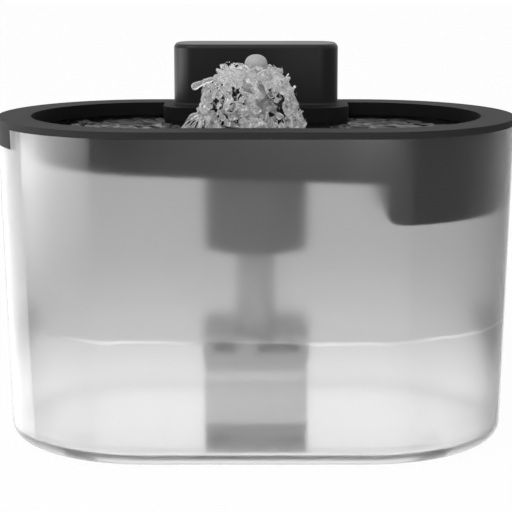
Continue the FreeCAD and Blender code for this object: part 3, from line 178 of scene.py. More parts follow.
# %% Finish
class Finish(Network):
    """A material built around one Principled shader, with patterns laid in object space."""

    def __init__(self, name, **constants):
        self.material = bpy.data.materials.new(name)
        self.material.use_nodes = True
        super().__init__(self.material.node_tree)
        self.shader = self.tree.nodes["Principled BSDF"]
        self.place = self.node("ShaderNodeTexCoord", output="Object")
        for socket, value in constants.items():
            self.set(socket.replace("_", " "), value)

    def set(self, socket, value):
        self.feed(self.shader.inputs[socket], value)

    def speckle(self, scale, detail=2.0, stretch=None):
        """Noise from 0 to 1; scale counts its lumps along a metre."""
        place = self.place
        if stretch:
            place = self.node("ShaderNodeMapping", None, {"Vector": place, "Scale": stretch})
        return self.node("ShaderNodeTexNoise", None, {"Vector": place, "Scale": scale, "Detail": detail})

    def stops(self, signal, pairs):
        """A grey scale that follows (place, tone) pairs, with places from 0 to 1."""
        return self.node("ShaderNodeValToRGB", {"stops": pairs}, {0: signal})

    def ramp(self, signal, low, high):
        """0 up to low and 1 from high on, with a straight slope between; low may be the larger one."""
        return self.node("ShaderNodeMapRange", None,
                         {"Value": signal, "From Min": low, "From Max": high, "To Min": 0.0, "To Max": 1.0})

    def mix(self, share, one, other):
        """One colour turning into another; sockets 6 and 7 and output 2 are the colour ones."""
        return self.node("ShaderNodeMix", {"data_type": "RGBA"}, {0: share, 6: one, 7: other}, output=2)

    def bump(self, height, depth):
        """Let a signal stand out of the surface by a depth in metres."""
        self.set("Normal", self.node("ShaderNodeBump", None,
                                     {"Height": height, "Distance": depth, "Strength": 1.0}))

    def along(self, axis):
        """The object's x, y or z, in metres; z counts from the surface that the part stands on."""
        return self.node("ShaderNodeSeparateXYZ", None, {0: self.place}, output=axis)


# %% [markdown]
# One recipe for moulded plastic
#
# Most pieces are injection moulded. Their colour is even but never flat: the mould's texture breaks
# the light, handling polishes it in patches, and the melt leaves faint clouds. One function makes
# all of them from a colour, a roughness and the size of the grain.


# %% Moulded plastic
CLOUD_SCALE = 22
GRAIN_SCALE = 1800
GRAIN_DEPTH = 0.02 * MM


def moulded(name, color, roughness, grain=GRAIN_SCALE, depth=GRAIN_DEPTH, clouds=0.12, **constants):
    finish = Finish(name, **constants)
    soft = finish.speckle(CLOUD_SCALE, 3)
    fine = finish.speckle(grain, 2)
    darker = tuple(channel * (1 - clouds) for channel in color)
    lighter = tuple(channel * (1 + clouds) for channel in color)
    finish.set("Base Color", finish.mix(0.7 * soft + 0.3 * fine, darker, lighter))
    finish.set("Roughness", roughness - 0.06 + 0.12 * soft)
    finish.bump(fine, depth)
    return finish.material


finishes = {
    "tower_plastic": moulded("black satin tower plastic", (0.012, 0.012, 0.013), 0.36, grain=2400,
                             Specular_IOR_Level=0.2),
    "nozzle_plastic": moulded("pale grey nozzle plastic", (0.42, 0.42, 0.41), 0.55, clouds=0.05),
    "riser_plastic": moulded("grey riser plastic", (0.86, 0.86, 0.87), 0.5, clouds=0.03),
    "pump_plastic": moulded("black pump casing plastic", (0.03, 0.03, 0.03), 0.45),
    "filter_plastic": moulded("white filter frame plastic", (0.72, 0.73, 0.74), 0.5, clouds=0.03),
    "connector_plastic": moulded("black connector plastic", (0.02, 0.02, 0.02), 0.4),
    "impeller_plastic": moulded("white impeller plastic", (0.75, 0.75, 0.73), 0.4, clouds=0.03),
    "soft_pad": moulded("grey soft pad", (0.35, 0.35, 0.36), 0.75, grain=900, depth=0.04 * MM),
    "seal_rubber": moulded("black seal rubber", (0.025, 0.025, 0.026), 0.7, grain=1200),
    "cup_rubber": moulded("smoke suction cup rubber", (0.28, 0.28, 0.28), 0.35, grain=900),
    "lead_jacket": moulded("black lead jacket", (0.018, 0.018, 0.018), 0.5, grain=700),
    "magnet": moulded("sintered ferrite", (0.035, 0.034, 0.036), 0.6, grain=2600, depth=0.05 * MM),
    "shaft_ceramic": moulded("polished ceramic", (0.83, 0.82, 0.78), 0.12, clouds=0.02),
}
print(len(finishes), "plastics, rubbers and ceramics")

# %% [markdown]
# Two tones on the pump box
#
# The pump box is a stack of a lid, a body and a base. The lid's grey runs a little down the body to
# a pale groove, and the body's pale grey runs a little down the base. Below that the base is painted
# dark, as painted shade for the shadow under the box. A layered finish takes a list of heights and
# tones, and blends from one to the next over about half a millimetre.


# %% Pump box
LAYER_BLEND = 0.3 * MM


def layered(name, layers, roughness):
    """Tones from the bottom up; each entry is the height where its layer starts, and its tone."""
    finish = Finish(name)
    soft = finish.speckle(30, 3)
    fine = finish.speckle(GRAIN_SCALE, 2)
    tone = (layers[0][1],) * 3
    for start, grey in layers[1:]:
        above = finish.ramp(finish.along("Z"), start - LAYER_BLEND, start + LAYER_BLEND)
        tone = finish.mix(above, tone, (grey,) * 3)
    finish.set("Base Color", finish.mix(0.1 * soft, tone, (0.5, 0.5, 0.5)))
    finish.set("Roughness", roughness - 0.05 + 0.1 * soft)
    finish.bump(fine, GRAIN_DEPTH)
    return finish.material


body_low, body_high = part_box("pump_box_body")
base_low, base_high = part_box("pump_box_base")
body_tall = body_high.z - body_low.z
groove_top = body_high.z - 0.18 * body_tall
groove_foot = body_high.z - 0.33 * body_tall
# Painted shade: the base is dark below this height, for the shadow under the pump box.
base_shade_top = base_high.z - 0.33 * (base_high.z - base_low.z)
finishes["pump_box_plastic"] = layered("pale pump box plastic",
                                       [(0, 0.7), (groove_foot, 0.9), (groove_top, 0.66)], 0.5)
finishes["base_plastic"] = layered("dark pump base plastic", [(0, 0.36), (base_shade_top, 0.7)], 0.5)
print("pump box body from", round(body_low.z / MM, 1), "to", round(body_high.z / MM, 1), "mm")

# %% [markdown]
# The tray's charcoal
#
# The tray is one moulding. The rim is a satin charcoal, and the dish's walls and the plinth of the
# tower are painted almost black, as painted shade for the dim inside of the dish and the plinth. The
# change follows the distance from the line between the two end centres, so the rim keeps its tone
# all the way round.


# %% Tray plastic
def tray_plastic():
    finish = Finish("charcoal satin plastic", Specular_IOR_Level=0.14)
    soft = finish.speckle(CLOUD_SCALE, 3)
    fine = finish.speckle(GRAIN_SCALE, 2)
    sideways = (finish.along("X").absolute() - end_place).at_least(0.0)
    across = finish.along("Y")
    distance = (sideways * sideways + across * across).root()
    # Painted shade: the dish's walls and the plinth above the rim are darkened to nearly black, with a
    # little less roughness.
    inside = finish.ramp(distance, rim_radius - 11 * MM, rim_radius - 14 * MM)
    plinth_shade = finish.ramp(finish.along("Z"), rim_top + 0.5 * MM, rim_top + 1.5 * MM)
    painted_shade = inside.at_least(plinth_shade)
    rim = finish.mix(0.7 * soft + 0.3 * fine, (0.021, 0.021, 0.022), (0.028, 0.028, 0.029))
    finish.set("Base Color", finish.mix(painted_shade, rim, (0.005, 0.005, 0.0055)))
    finish.set("Roughness", 0.66 + 0.1 * soft - 0.06 * painted_shade)
    finish.bump(fine, GRAIN_DEPTH)
    return finish.material


finishes["charcoal_plastic"] = tray_plastic()
print("the tray's tone changes", round(rim_radius / MM - 14), "to", round(rim_radius / MM - 11), "mm out")

# %% [markdown]
# Metals, board and filter media
#
# These need their own patterns: turned screws catch light in fine marks, a core is a stack of thin
# sheets, a winding is wire beside wire, and the filter is granules under fleece.


# %% Screws, core and winding
def screw_steel():
    finish = Finish("plain steel screws", Base_Color=(0.56, 0.56, 0.55), Metallic=1.0)
    marks = finish.speckle(2600, 3, stretch=(1, 1, 0.2))
    finish.set("Roughness", 0.26 + 0.2 * marks)
    finish.bump(marks, 0.01 * MM)
    return finish.material


def bands(finish, pitch, direction):
    """Stripes across one axis, a pitch apart."""
    return finish.node("ShaderNodeTexWave", {"bands_direction": direction},
                       {"Vector": finish.place, "Scale": math.pi / 10 / pitch, "Distortion": 0.0})


def core_steel():
    finish = Finish("stacked core sheets", Metallic=1.0)
    sheets = bands(finish, 0.5 * MM, "Y")
    finish.set("Base Color", finish.mix(sheets, (0.16, 0.16, 0.17), (0.46, 0.46, 0.47)))
    finish.set("Roughness", 0.32 + 0.25 * sheets)
    finish.bump(sheets, 0.08 * MM)
    return finish.material


def winding():
    finish = Finish("lacquered copper winding", Metallic=1.0, Coat_Weight=0.6, Coat_Roughness=0.12)
    turns_and_shade = bands(finish, 0.45 * MM, "X")
    # Painted shade: the copper darkens between the turns, where the round wires shade each other.
    finish.set("Base Color", finish.mix(turns_and_shade, (0.22, 0.06, 0.02), (0.72, 0.30, 0.12)))
    finish.set("Roughness", 0.42 - 0.18 * turns_and_shade)
    finish.bump(turns_and_shade, 0.2 * MM)
    return finish.material


finishes["screw_steel"] = screw_steel()
finishes["core_steel"] = core_steel()
finishes["winding"] = winding()
print(len(finishes), "finishes with the metals")


# %% Board and filter media
def board_laminate():
    finish = Finish("green board lacquer", Coat_Weight=0.5, Coat_Roughness=0.15)
    weave = finish.speckle(900, 2)
    tracks = finish.ramp(bands(finish, 2.4 * MM, "DIAGONAL"), 0.74, 0.82)
    green = finish.mix(weave, (0.012, 0.10, 0.035), (0.02, 0.15, 0.055))
    finish.set("Base Color", finish.mix(tracks, green, (0.04, 0.26, 0.09)))
    finish.set("Roughness", 0.3 + 0.15 * weave)
    finish.bump(tracks, 0.03 * MM)
    return finish.material


def granules(name, dark, light, scale, depth, roughness):
    """Grains that are light in the middle and dark in the gaps, as painted shade between the grains."""
    finish = Finish(name)
    grains_and_gap_shade = finish.node("ShaderNodeTexVoronoi", None, {"Vector": finish.place, "Scale": scale})
    finish.set("Base Color", finish.mix(grains_and_gap_shade, light, dark))
    finish.set("Roughness", roughness + 0.2 * grains_and_gap_shade)
    finish.bump(1 - grains_and_gap_shade, depth)
    return finish.material


def fleece():
    finish = Finish("white filter fleece", Sheen_Weight=0.5)
    fibres = finish.speckle(1400, 6, stretch=(1, 0.25, 1))
    finish.set("Base Color", finish.mix(fibres, (0.66, 0.67, 0.66), (0.86, 0.87, 0.86)))
    finish.set("Roughness", 0.85 + 0.1 * fibres)
    finish.bump(fibres, 0.3 * MM)
    return finish.material


finishes["board_laminate"] = board_laminate()
finishes["carbon"] = granules("activated carbon", (0.004, 0.004, 0.004), (0.03, 0.03, 0.03),
                              900, 0.7 * MM, 0.5)
finishes["sponge"] = granules("open grey foam", (0.4, 0.4, 0.4), (0.8, 0.8, 0.81), 700, 0.6 * MM, 0.8)
finishes["fleece"] = fleece()
print(len(finishes), "finishes with the board and the filter")

# %% [markdown]
# The frosted tank
#
# The tank is smoke-grey plastic, polished outside and frosted inside, so it shows what is close to
# it clearly and what is far only as a soft shadow. A rough transmission gives that blur by itself:
# the further a thing stands behind the wall, the wider it is spread. A thin clear coat gives the
# sharp reflections of the polished face. Below the water line the frosting is wet, so it scatters
# less. The tone is painted light and shade by height: darker towards the top, where the lid shades
# the inside, lighter low down, with a painted shadow line near the foot and a broken painted
# highlight where the water meets the wall.


# %% Tank plastic
# Painted shade by height in mm: darker towards the top under the lid, lighter low down, and a painted
# shadow line at 5 mm near the foot.
TANK_PAINTED_SHADES = [(0, 0.88), (3, 0.88), (5, 0.8), (7.5, 1.0), (20, 1.0), (32, 0.97), (42, 0.86), (52, 0.76),
              (60, 0.7), (75, 0.66), (95, 0.635), (145, 0.62)]
PAINTED_SHADES_TOP = TANK_PAINTED_SHADES[-1][0]
WET_DEPTH = 4 * MM
HIGHLIGHT_WIDTH = 0.9 * MM
HIGHLIGHT_CORE = 0.4 * MM


def painted_waterline_highlight(finish):
    """A painted highlight on the wall at the water's edge, wavy and broken into stretches."""
    wobble = finish.speckle(40, 2, stretch=(1, 1, 0.05))
    patches = finish.ramp(finish.speckle(13, 1, stretch=(1, 1, 0.05)), 0.42, 0.52)
    offset = finish.along("Z") - (TANK_WATER + 0.3 * MM) + 4 * MM * (wobble - 0.5)
    return finish.ramp(offset.absolute(), HIGHLIGHT_WIDTH, HIGHLIGHT_CORE) * patches


def tank_plastic():
    """The tone follows the height in mm as painted shade: darker towards the top, where the lid shades the
    inside, lighter low down, and a painted shadow line near the foot.
    """
    finish = Finish("frosted smoke tank", IOR=1.2, Transmission_Weight=0.98, Coat_Weight=1.0,
                    Coat_Roughness=0.02, Coat_IOR=1.3)
    frost = finish.speckle(2600, 2)
    clouds = finish.speckle(18, 3, stretch=(1, 1, 0.3))
    wet = finish.ramp(finish.along("Z"), TANK_WATER + 0.5 * MM, TANK_WATER - WET_DEPTH)
    level = finish.along("Z") * (1 / (PAINTED_SHADES_TOP * MM)) + 0.012 * (clouds - 0.5)
    # The tone is the painted shade and light by height.
    tone = finish.stops(level, [(z / PAINTED_SHADES_TOP, shade) for z, shade in TANK_PAINTED_SHADES])
    # A painted highlight: the tone turns white where the water meets the wall.
    tone = finish.mix(painted_waterline_highlight(finish), tone, (1.0, 1.0, 1.0))
    finish.set("Base Color", finish.mix(0.03 * frost, tone, (0.9, 0.9, 0.92)))
    finish.set("Roughness", 0.38 + 0.03 * frost - 0.07 * wet)
    return finish.material


finishes["tank_plastic"] = tank_plastic()
print("the tank has", len(TANK_PAINTED_SHADES), "tones over", PAINTED_SHADES_TOP, "mm of height")

# %% [markdown]
# Finishes onto the pieces
#
# The record names a material slot for every node, so a table of node to slot is enough to dress
# the whole object. The riser's collar is smoked although the riser isn't, so it gets its own.

# %% Give every node its finish
slot_of = {part["node"]: part["material_slot"] for part in frame["record"]["subparts"]}
for name, node in nodes.items():
    node.data.materials.clear()
    node.data.materials.append(finishes[slot_of[name]])
nodes["riser_sleeve"].data.materials[0] = moulded("smoked sleeve plastic", (0.26, 0.26, 0.26), 0.4)
print("finished", len(slot_of), "nodes in", len(set(slot_of.values())), "finishes")

# %% [markdown]
# Outlines and ringed surfaces
#
# Tank and dish share one plan, so their water is made of rings: the same outline at growing radii.
# At radius zero the ring is the line between the two end centres, which closes the surface with
# no pole. A bridge of quads joins each ring to the next.


# %% Ring helpers
def outline(radius, ends=56, sides=44):
    """Points once around the plan at a radius, anticlockwise from the right end's front."""
    points = []
    for side in (1, -1):
        for step in range(ends):
            angle = math.pi * (step / ends - 0.5) + (0 if side > 0 else math.pi)
            points.append((side * end_place + radius * math.cos(angle), radius * math.sin(angle)))
        for step in range(sides):
            share = step / sides
            points.append((side * end_place * (1 - 2 * share), side * radius))
    return points


def ring(radius, level, wave=None):
    """The outline at a level, with each point lifted by what the wave gives for its place."""
    return [(x, y, level + wave(x, y) if wave else level) for x, y in outline(radius)]


def placed(name, mesh):
    """Turn a bmesh into an object of the scene."""
    data = bpy.data.meshes.new(name)
    mesh.to_mesh(data)
    mesh.free()
    made = bpy.data.objects.new(name, data)
    scene.collection.objects.link(made)
    return made


def ringed(name, rings):
    """A closed, smooth mesh through rings of the same number of points."""
    mesh = bmesh.new()
    rows = [[mesh.verts.new(point) for point in row] for row in rings]
    count = len(rings[0])
    for one, other in zip(rows, rows[1:]):
        for number in range(count):
            following = (number + 1) % count
            mesh.faces.new((one[number], one[following], other[following], other[number]))
    bmesh.ops.remove_doubles(mesh, verts=mesh.verts, dist=1e-6)
    bmesh.ops.recalc_face_normals(mesh, faces=mesh.faces)
    made = placed(name, mesh)
    made.data.shade_smooth()
    return made


print("a ring has", len(outline(DISH_RADIUS)), "points")

# %% [markdown]
# Water
#
# Clear water has no colour of its own. It is a smooth glass, and what shows is the shape of its
# surface, so the shapes below carry the look. Its real index is 1.33, which the splash keeps. In
# the broad, closed pieces that index makes the far walls mirror, and dark patches show at the round
# ends. They bend the light less, and a coat on the tank's water does the mirroring at its top.


# %% Water finish
def water(name, tint=(1, 1, 1), index=1.33, foam=0.0, blur=0.0, **constants):
    finish = Finish(name, IOR=index, Transmission_Weight=1.0 - foam, **constants)
    clouds = finish.speckle(90, 3)
    finish.set("Base Color", finish.mix(clouds, tint, tuple(0.96 * channel for channel in tint)))
    finish.set("Roughness", blur + 0.01 * clouds)
    return finish


def tank_water_finish():
    """Bends little, so that the frosted wall alone sets the blur, and mirrors at the top."""
    finish = water("still tank water", index=1.04, Coat_IOR=1.9, Coat_Roughness=0.03)
    finish.set("Coat Weight", finish.ramp(finish.along("Z"), TANK_WATER - 1.2 * MM, TANK_WATER - 0.8 * MM))
    return finish.material


# %% [markdown]
# The water in the tank
#
# The water fills the tank to a little over a third. Its sides follow the drafted wall a hair inside
# it, its foot is rounded as the tank's corner is, and its top has the slow swell that the pump
# makes. At its edge it climbs the wall by a fraction of a millimetre, as water does.


# %% Tank water
WALL_GAP = 0.15 * MM
CORNER_BEND = 4.5 * MM
SWELL_WIDTH = 14 * MM


def wall_radius(level):
    """Radius of the tank's inner wall at a height."""
    share = (level - tank_low.z) / (tank_high.z - tank_low.z)
    return TANK_BOTTOM_RADIUS + share * (TANK_TOP_RADIUS - TANK_BOTTOM_RADIUS) - TANK_WALL


def swell(x, y):
    """Height of the tank's surface at a place."""
    place = Vector((x, y, 0)) / SWELL_WIDTH
    slow = noise.noise(place)
    quick = noise.noise(place * 2.7 + Vector((3, 1, 7)))
    return (0.4 * slow + 0.12 * quick) * MM


def calmer_swell(x, y):
    """The swell close to the wall, which holds it down."""
    return 0.3 * swell(x, y)


def foot_rings(bottom, steps=6):
    """Rings over the flat bottom and up round its corner."""
    rings = [ring((wall_radius(bottom) - CORNER_BEND) * share, bottom) for share in (0.0, 0.5, 0.85)]
    for step in range(steps + 1):
        angle = step / steps * math.pi / 2
        level = bottom + CORNER_BEND * (1 - math.cos(angle))
        radius = wall_radius(level) - WALL_GAP - CORNER_BEND * (1 - math.sin(angle))
        rings.append(ring(radius, level))
    return rings


def tank_water(steps=30):
    top = TANK_WATER + 0.25 * MM
    rings = foot_rings(TANK_FLOOR + WALL_GAP)
    rings.append(ring(wall_radius(top) - WALL_GAP, top))
    for share, lift in ((0.985, 0.1), (0.965, 0.03), (0.94, 0.0)):
        rings.append(ring(wall_radius(TANK_WATER) * share, TANK_WATER + lift * MM, calmer_swell))
    for step in range(steps, -1, -1):
        rings.append(ring(wall_radius(TANK_WATER) * 0.92 * step / steps, TANK_WATER, swell))
    made = ringed("tank_water", rings)
    made.data.materials.append(tank_water_finish())
    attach(made, "tank")
    return made


pool = tank_water()
print("tank water:", len(pool.data.polygons), "faces")

# %% [markdown]
# The water in the dish
#
# Water falls from the nozzle and runs out in rings, and where they meet the walls they cross. The
# surface is a sum of ring waves that fade with distance and of wind-like noise. It stands over a
# nearly black dish, so it reads as black glass with bright streaks.


# %% Dish water
RING_WAVE = 1.6 * MM
RING_FADE = 55 * MM
RING_WARP = 16 * MM


def ripple(x, y):
    """Height of the dish's surface at a place."""
    place = Vector((x, y, 0))
    distance = (place - column).length
    warp = 5 * MM * noise.noise(place / RING_WARP)
    rings = math.sin((distance + warp) / RING_WAVE) * math.exp(-distance / RING_FADE)
    cross = noise.noise(Vector((x / (6.5 * MM), y / (4.5 * MM), 2.0)))
    chop = noise.noise(Vector((x / (3.2 * MM), y / (2.6 * MM), 9.0)))
    return (0.5 * rings + 1.2 * cross + 0.4 * chop) * MM


def dish_water(steps=70):
    edge = DISH_RADIUS - 0.1 * MM
    rings = [ring(edge * share, DISH_WATER - 5 * MM) for share in (0.0, 0.5, 1.0)]
    rings.append(ring(edge, DISH_WATER + 0.5 * MM))
    for step in range(steps, -1, -1):
        rings.append(ring((edge - 0.6 * MM) * step / steps, DISH_WATER, ripple))
    made = ringed("dish_water", rings)
    finish = water("rippled dish water", tint=(0.8, 0.82, 0.83), index=1.1, blur=0.06)
    made.data.materials.append(finish.material)
    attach(made, "tray_unit")
    return made


dish = dish_water()
print("dish water:", len(dish.data.polygons), "faces")

# %% [markdown]
# The splash
#
# The nozzle throws water out under its head. It opens like a mushroom, tears into ropes and beads,
# and falls into the dish. A sheet of that shape is easy to draw. Beads laid along it, in a loop for
# each kind of drop or rope, can then be turned into one volume by Geometry Nodes. The skin of that
# volume melts them together as surface tension does.
#
# Each kind of bead is a generator that gives a turn around the column, a radius, a level and a
# size. All random numbers come from one seed, in the order in which the kinds are listed.

# %% The splash's profile
SPLASH_SEED = 11
SPLASH_PROFILE = [(4.4, 19.5), (9, 21), (14, 19.5), (18.5, 13.5), (22, 5), (24.5, -3), (26, -8.5)]
SPLASH_LEAN = 0.19
LEAN_FADE = 13 * MM
FULL_TURN = 2 * math.pi


def on_profile(share):
    """Radius and level of the mushroom's skin, from the neck (0) to the dish's water (1)."""
    place = share * (len(SPLASH_PROFILE) - 1)
    number = min(int(place), len(SPLASH_PROFILE) - 2)
    (r0, z0), (r1, z1) = SPLASH_PROFILE[number:number + 2]
    part = place - number
    return (r0 + (r1 - r0) * part) * MM, rim_top + (z0 + (z1 - z0) * part) * MM


def leaned(beads):
    """Places and sizes of beads; the splash reaches further to the left, except at its foot."""
    points = []
    for turn, radius, level, size in beads:
        low = min(1, max(0, (rim_top + LEAN_FADE - level) / LEAN_FADE))
        lean = -SPLASH_LEAN * math.cos(turn)
        leaning = radius * (0.99 + (lean if lean < 0 else lean * (1 - low)))
        place = column + Vector((leaning * math.cos(turn), leaning * math.sin(turn), level))
        points.append((place, size))
    return points


print("the splash is", round(2 * on_profile(1)[0] / MM), "mm wide at its foot")


# %% Beads over the skin
def loose_beads(count=420):
    """Drops spread over the whole skin."""
    for _ in range(count):
        radius, level = on_profile(random.random())
        yield (random.uniform(0, FULL_TURN), radius * random.uniform(0.84, 1.04),
               level + random.uniform(-1.6, 0.8) * MM, random.uniform(0.8, 2.1) * MM)


def loops(count=120, beads=26):
    """Thin rings that lie in the skin, like the edges of torn bubbles."""
    for _ in range(count):
        radius, level = on_profile(random.random() * 0.95)
        turn = random.uniform(0, FULL_TURN)
        size = random.uniform(1.8, 3.6) * MM
        thick = random.uniform(0.4, 0.75) * MM
        tilt = random.uniform(-1, 1)
        for step in range(beads):
            angle = FULL_TURN * step / beads
            yield (turn + size * math.cos(angle) / max(radius, 6 * MM),
                   radius + tilt * size * math.sin(angle), level + size * math.sin(angle), thick)


def ropes(count=26, beads=34):
    """Ropes that run down the skin into the dish."""
    for number in range(count):
        turn = random.uniform(0, FULL_TURN)
        start = random.uniform(0.4, 0.7)
        bow = random.uniform(-0.3, 0.3)
        thick = random.uniform(0.45, 0.85) * MM
        for step in range(beads):
            part = step / (beads - 1)
            radius, level = on_profile(start + (1 - start) * part)
            yield (turn + bow * math.sin(math.pi * part), radius * (1 + 0.08 * math.sin(3 * part)),
                   level, thick * (1 + 0.35 * math.sin(11 * part + number)))


def curtain(count=100):
    """Drops inside the mushroom, towards the front."""
    for _ in range(count):
        share = random.random()
        yield (random.uniform(-2.4, -0.7), (7 + 9 * share) * MM * random.uniform(0.8, 1.1),
               rim_top + (17 - 24 * share) * MM, random.uniform(0.7, 1.6) * MM)


def droplets(count=60):
    """Drops that skip on the dish's water around the foot."""
    for _ in range(count):
        yield (random.uniform(0, FULL_TURN), random.uniform(22, 29) * MM,
               DISH_WATER + random.uniform(0.3, 3.5) * MM, random.uniform(0.4, 0.9) * MM)


def brim(beads=16):
    """A rope along the top of the left side, which lengthens the mushroom's brim."""
    for step in range(beads):
        share = step / (beads - 1)
        yield (math.pi + 0.1, (14 + 8.5 * share) * MM, rim_top + (18.5 - 4 * share) * MM,
               (1.0 + 0.8 * share) * MM)


def left_leg(count=3, beads=30):
    """Ropes that fall outside the skin on the left, side by side; they don't lean any further."""
    points = []
    for number in range(count):
        for step in range(beads):
            share = step / (beads - 1)
            x = -(25.5 + 6.5 * math.sin(share * math.pi / 2) - 1.3 * number) * MM
            level = rim_top + (2.6 - 1.2 * number - 10.5 * share ** 1.7) * MM
            place = column + Vector((x, (number * 4 - 6) * MM, level))
            points.append((place, (0.95 + 0.3 * math.sin(9 * share + number)) * MM))
    return points


def splash_points():
    """Places and sizes of all the beads that melt into the splash."""
    random.seed(SPLASH_SEED)
    points = []
    for beads in (loose_beads(), loops(), ropes(), curtain(), droplets()):
        points += leaned(beads)
    return points + left_leg() + leaned(brim())


def splash_cloud():
    """The beads as loose points, each with its size stored on it."""
    mesh = bmesh.new()
    size_layer = mesh.verts.layers.float.new("size")
    for place, size in splash_points():
        vertex = mesh.verts.new(place)
        vertex[size_layer] = size
    return placed("splash", mesh)


cloud = splash_cloud()
print("the splash melts together from", len(cloud.data.vertices), "beads")

# %% [markdown]
# Geometry Nodes written as a script
#
# A Geometry Nodes tree is one more network, so it takes its nodes and sums from the same classes.
# What it adds is a list of named inputs, which the modifier sets, so a size changes without a node
# being touched. Its result is kept as a plain mesh, because an export doesn't carry instances.


# %% Tree
class Tree(Network):
    """A Geometry Nodes tree with named inputs."""

    def __init__(self, name, **inputs):
        super().__init__(bpy.data.node_groups.new(name, "GeometryNodeTree"))
        self.inputs = inputs
        interface = self.tree.interface
        interface.new_socket("Geometry", in_out="INPUT", socket_type="NodeSocketGeometry")
        for label in inputs:
            interface.new_socket(label, in_out="INPUT", socket_type="NodeSocketFloat")
        interface.new_socket("Geometry", in_out="OUTPUT", socket_type="NodeSocketGeometry")

    def input(self, label):
        return self.node("NodeGroupInput", output=label)

    def apply(self, piece, result, material):
        """Run the tree on a piece and keep the result as its plain mesh."""
        real = self.node("GeometryNodeRealizeInstances", None, {0: result})
        painted = self.node("GeometryNodeSetMaterial", None, {"Geometry": real, "Material": material})
        self.node("NodeGroupOutput", None, {0: painted})
        modifier = piece.modifiers.new("tree", "NODES")
        modifier.node_group = self.tree
        for item in self.tree.interface.items_tree:
            if item.in_out == "INPUT" and item.name in self.inputs:
                modifier[item.identifier] = self.inputs[item.name]
        bpy.context.view_layer.update()
        evaluated = piece.evaluated_get(bpy.context.evaluated_depsgraph_get())
        data = bpy.data.meshes.new_from_object(evaluated)
        piece.modifiers.clear()
        piece.data = data
        data.shade_smooth()


# %% [markdown]
# From beads to one skin of water
#
# A ball of the right size stands on every point. The balls become a volume, whose skin is closed
# round the water and round each loose drop, and a noise then crumples it as turbulent water is. A
# finer voxel would show more drops, but its mesh would soon be too large for one piece.

# %% Splash tree
LUMP_SCALE = 430.0
SKIN_THRESHOLD = 0.1


def splash():
    tree = Tree("melted beads", Voxel=0.46 * MM, Swell=1.0, Crumple=1.5 * MM)
    size = tree.node("GeometryNodeInputNamedAttribute", {"data_type": "FLOAT"}, {"Name": "size"})
    scale = size * tree.input("Swell")
    bead = tree.node("GeometryNodeMeshIcoSphere", None, {"Radius": 1.0, "Subdivisions": 2})
    beads = tree.node("GeometryNodeInstanceOnPoints", None,
                      {"Points": tree.input("Geometry"), "Instance": bead, "Scale": scale})
    solid = tree.node("GeometryNodeRealizeInstances", None, {0: beads})
    volume = tree.node("GeometryNodeMeshToVolume", {"resolution_mode": "VOXEL_SIZE"},
                       {"Mesh": solid, "Voxel Size": tree.input("Voxel")})
    skin = tree.node("GeometryNodeVolumeToMesh", None, {"Volume": volume, "Threshold": SKIN_THRESHOLD})
    lumps = tree.node("ShaderNodeTexNoise", None, {"Scale": LUMP_SCALE, "Detail": 2.0})
    rise = (lumps - 0.5) * tree.input("Crumple")
    normal = tree.node("GeometryNodeInputNormal")
    shift = tree.node("ShaderNodeVectorMath", {"operation": "SCALE"}, {0: normal, "Scale": rise})
    crumpled = tree.node("GeometryNodeSetPosition", None, {"Geometry": skin, "Offset": shift})
    tree.apply(cloud, crumpled, water("splashing water", foam=0.25).material)
    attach(cloud, "nozzle")
    return cloud


jet = splash()
print("splash:", sum(len(face.vertices) - 2 for face in jet.data.polygons), "triangles")

# %% [markdown]
# A white page to stand on
#
# The photograph is a cut-out on white. A floor that glows for the camera, and for rays that were
# mirrored or went through glass, gives the same page wherever it is seen. For all other rays it is
# plain matt paint, so it puts no more light on the object than paper would.


# %% Floor
CAMERA_PLACE = Vector((0, -0.82, 0.2346))
SHOWS_WHITE = ("Is Camera Ray", "Is Glossy Ray", "Is Transmission Ray")
FLOOR_GLOW = 0.97
FLOOR_SIZE = 8


def rays(network, *kinds):
    """1 for the chosen kinds of ray and 0 for the rest."""
    result = network.node("ShaderNodeLightPath", output=kinds[0])
    for kind in kinds[1:]:
        result = result.at_least(network.node("ShaderNodeLightPath", output=kind))
    return result


def bare_material(name):
    """A material with no nodes yet, for shaders that aren't built on the Principled one."""
    material = bpy.data.materials.new(name)
    material.use_nodes = True
    material.node_tree.nodes.clear()
    return material, Network(material.node_tree)


def floor():
    bpy.ops.mesh.primitive_plane_add(size=FLOOR_SIZE)
    made = bpy.context.object
    made.name = "floor"
    material, network = bare_material("white floor")
    matt = network.node("ShaderNodeBsdfDiffuse", None, {"Color": (0.93, 0.93, 0.93)})
    glow = network.node("ShaderNodeEmission")
    seen = rays(network, *SHOWS_WHITE) * FLOOR_GLOW
    page = network.node("ShaderNodeMixShader", None, {0: seen, 1: matt, 2: glow})
    network.node("ShaderNodeOutputMaterial", None, {"Surface": page})
    made.data.materials.append(material)


floor()
print("floor:", FLOOR_SIZE, "m wide")

# %% [markdown]
# Light from all round
#
# A studio tent lights an object evenly, so a white world does most of the work. Where it is seen it
# is full white, like the floor. Where it only lights the object it is half as strong, so that pale
# plastic keeps its tone.


# %% World
def world():
    made = bpy.data.worlds.new("white world")
    scene.world = made
    made.use_nodes = True
    network = Network(made.node_tree)
    background = made.node_tree.nodes["Background"]
    network.feed(background.inputs["Color"], (1, 1, 1))
    network.feed(background.inputs["Strength"], 0.5 + 0.5 * rays(network, *SHOWS_WHITE))
    return made


print("world:", world().name)

# %% [markdown]
# One soft lamp
#
# A large, weak lamp high up on the left front gives the rim its soft light and the object a
# direction, with a shadow that has no edge.

# %% Key lamp
KEY_PLACE = (-0.5, -0.7, 1.3)
KEY_TARGET = (0, 0, 0.1)
KEY_SIZE = (0.9, 0.9)
KEY_POWER = 10


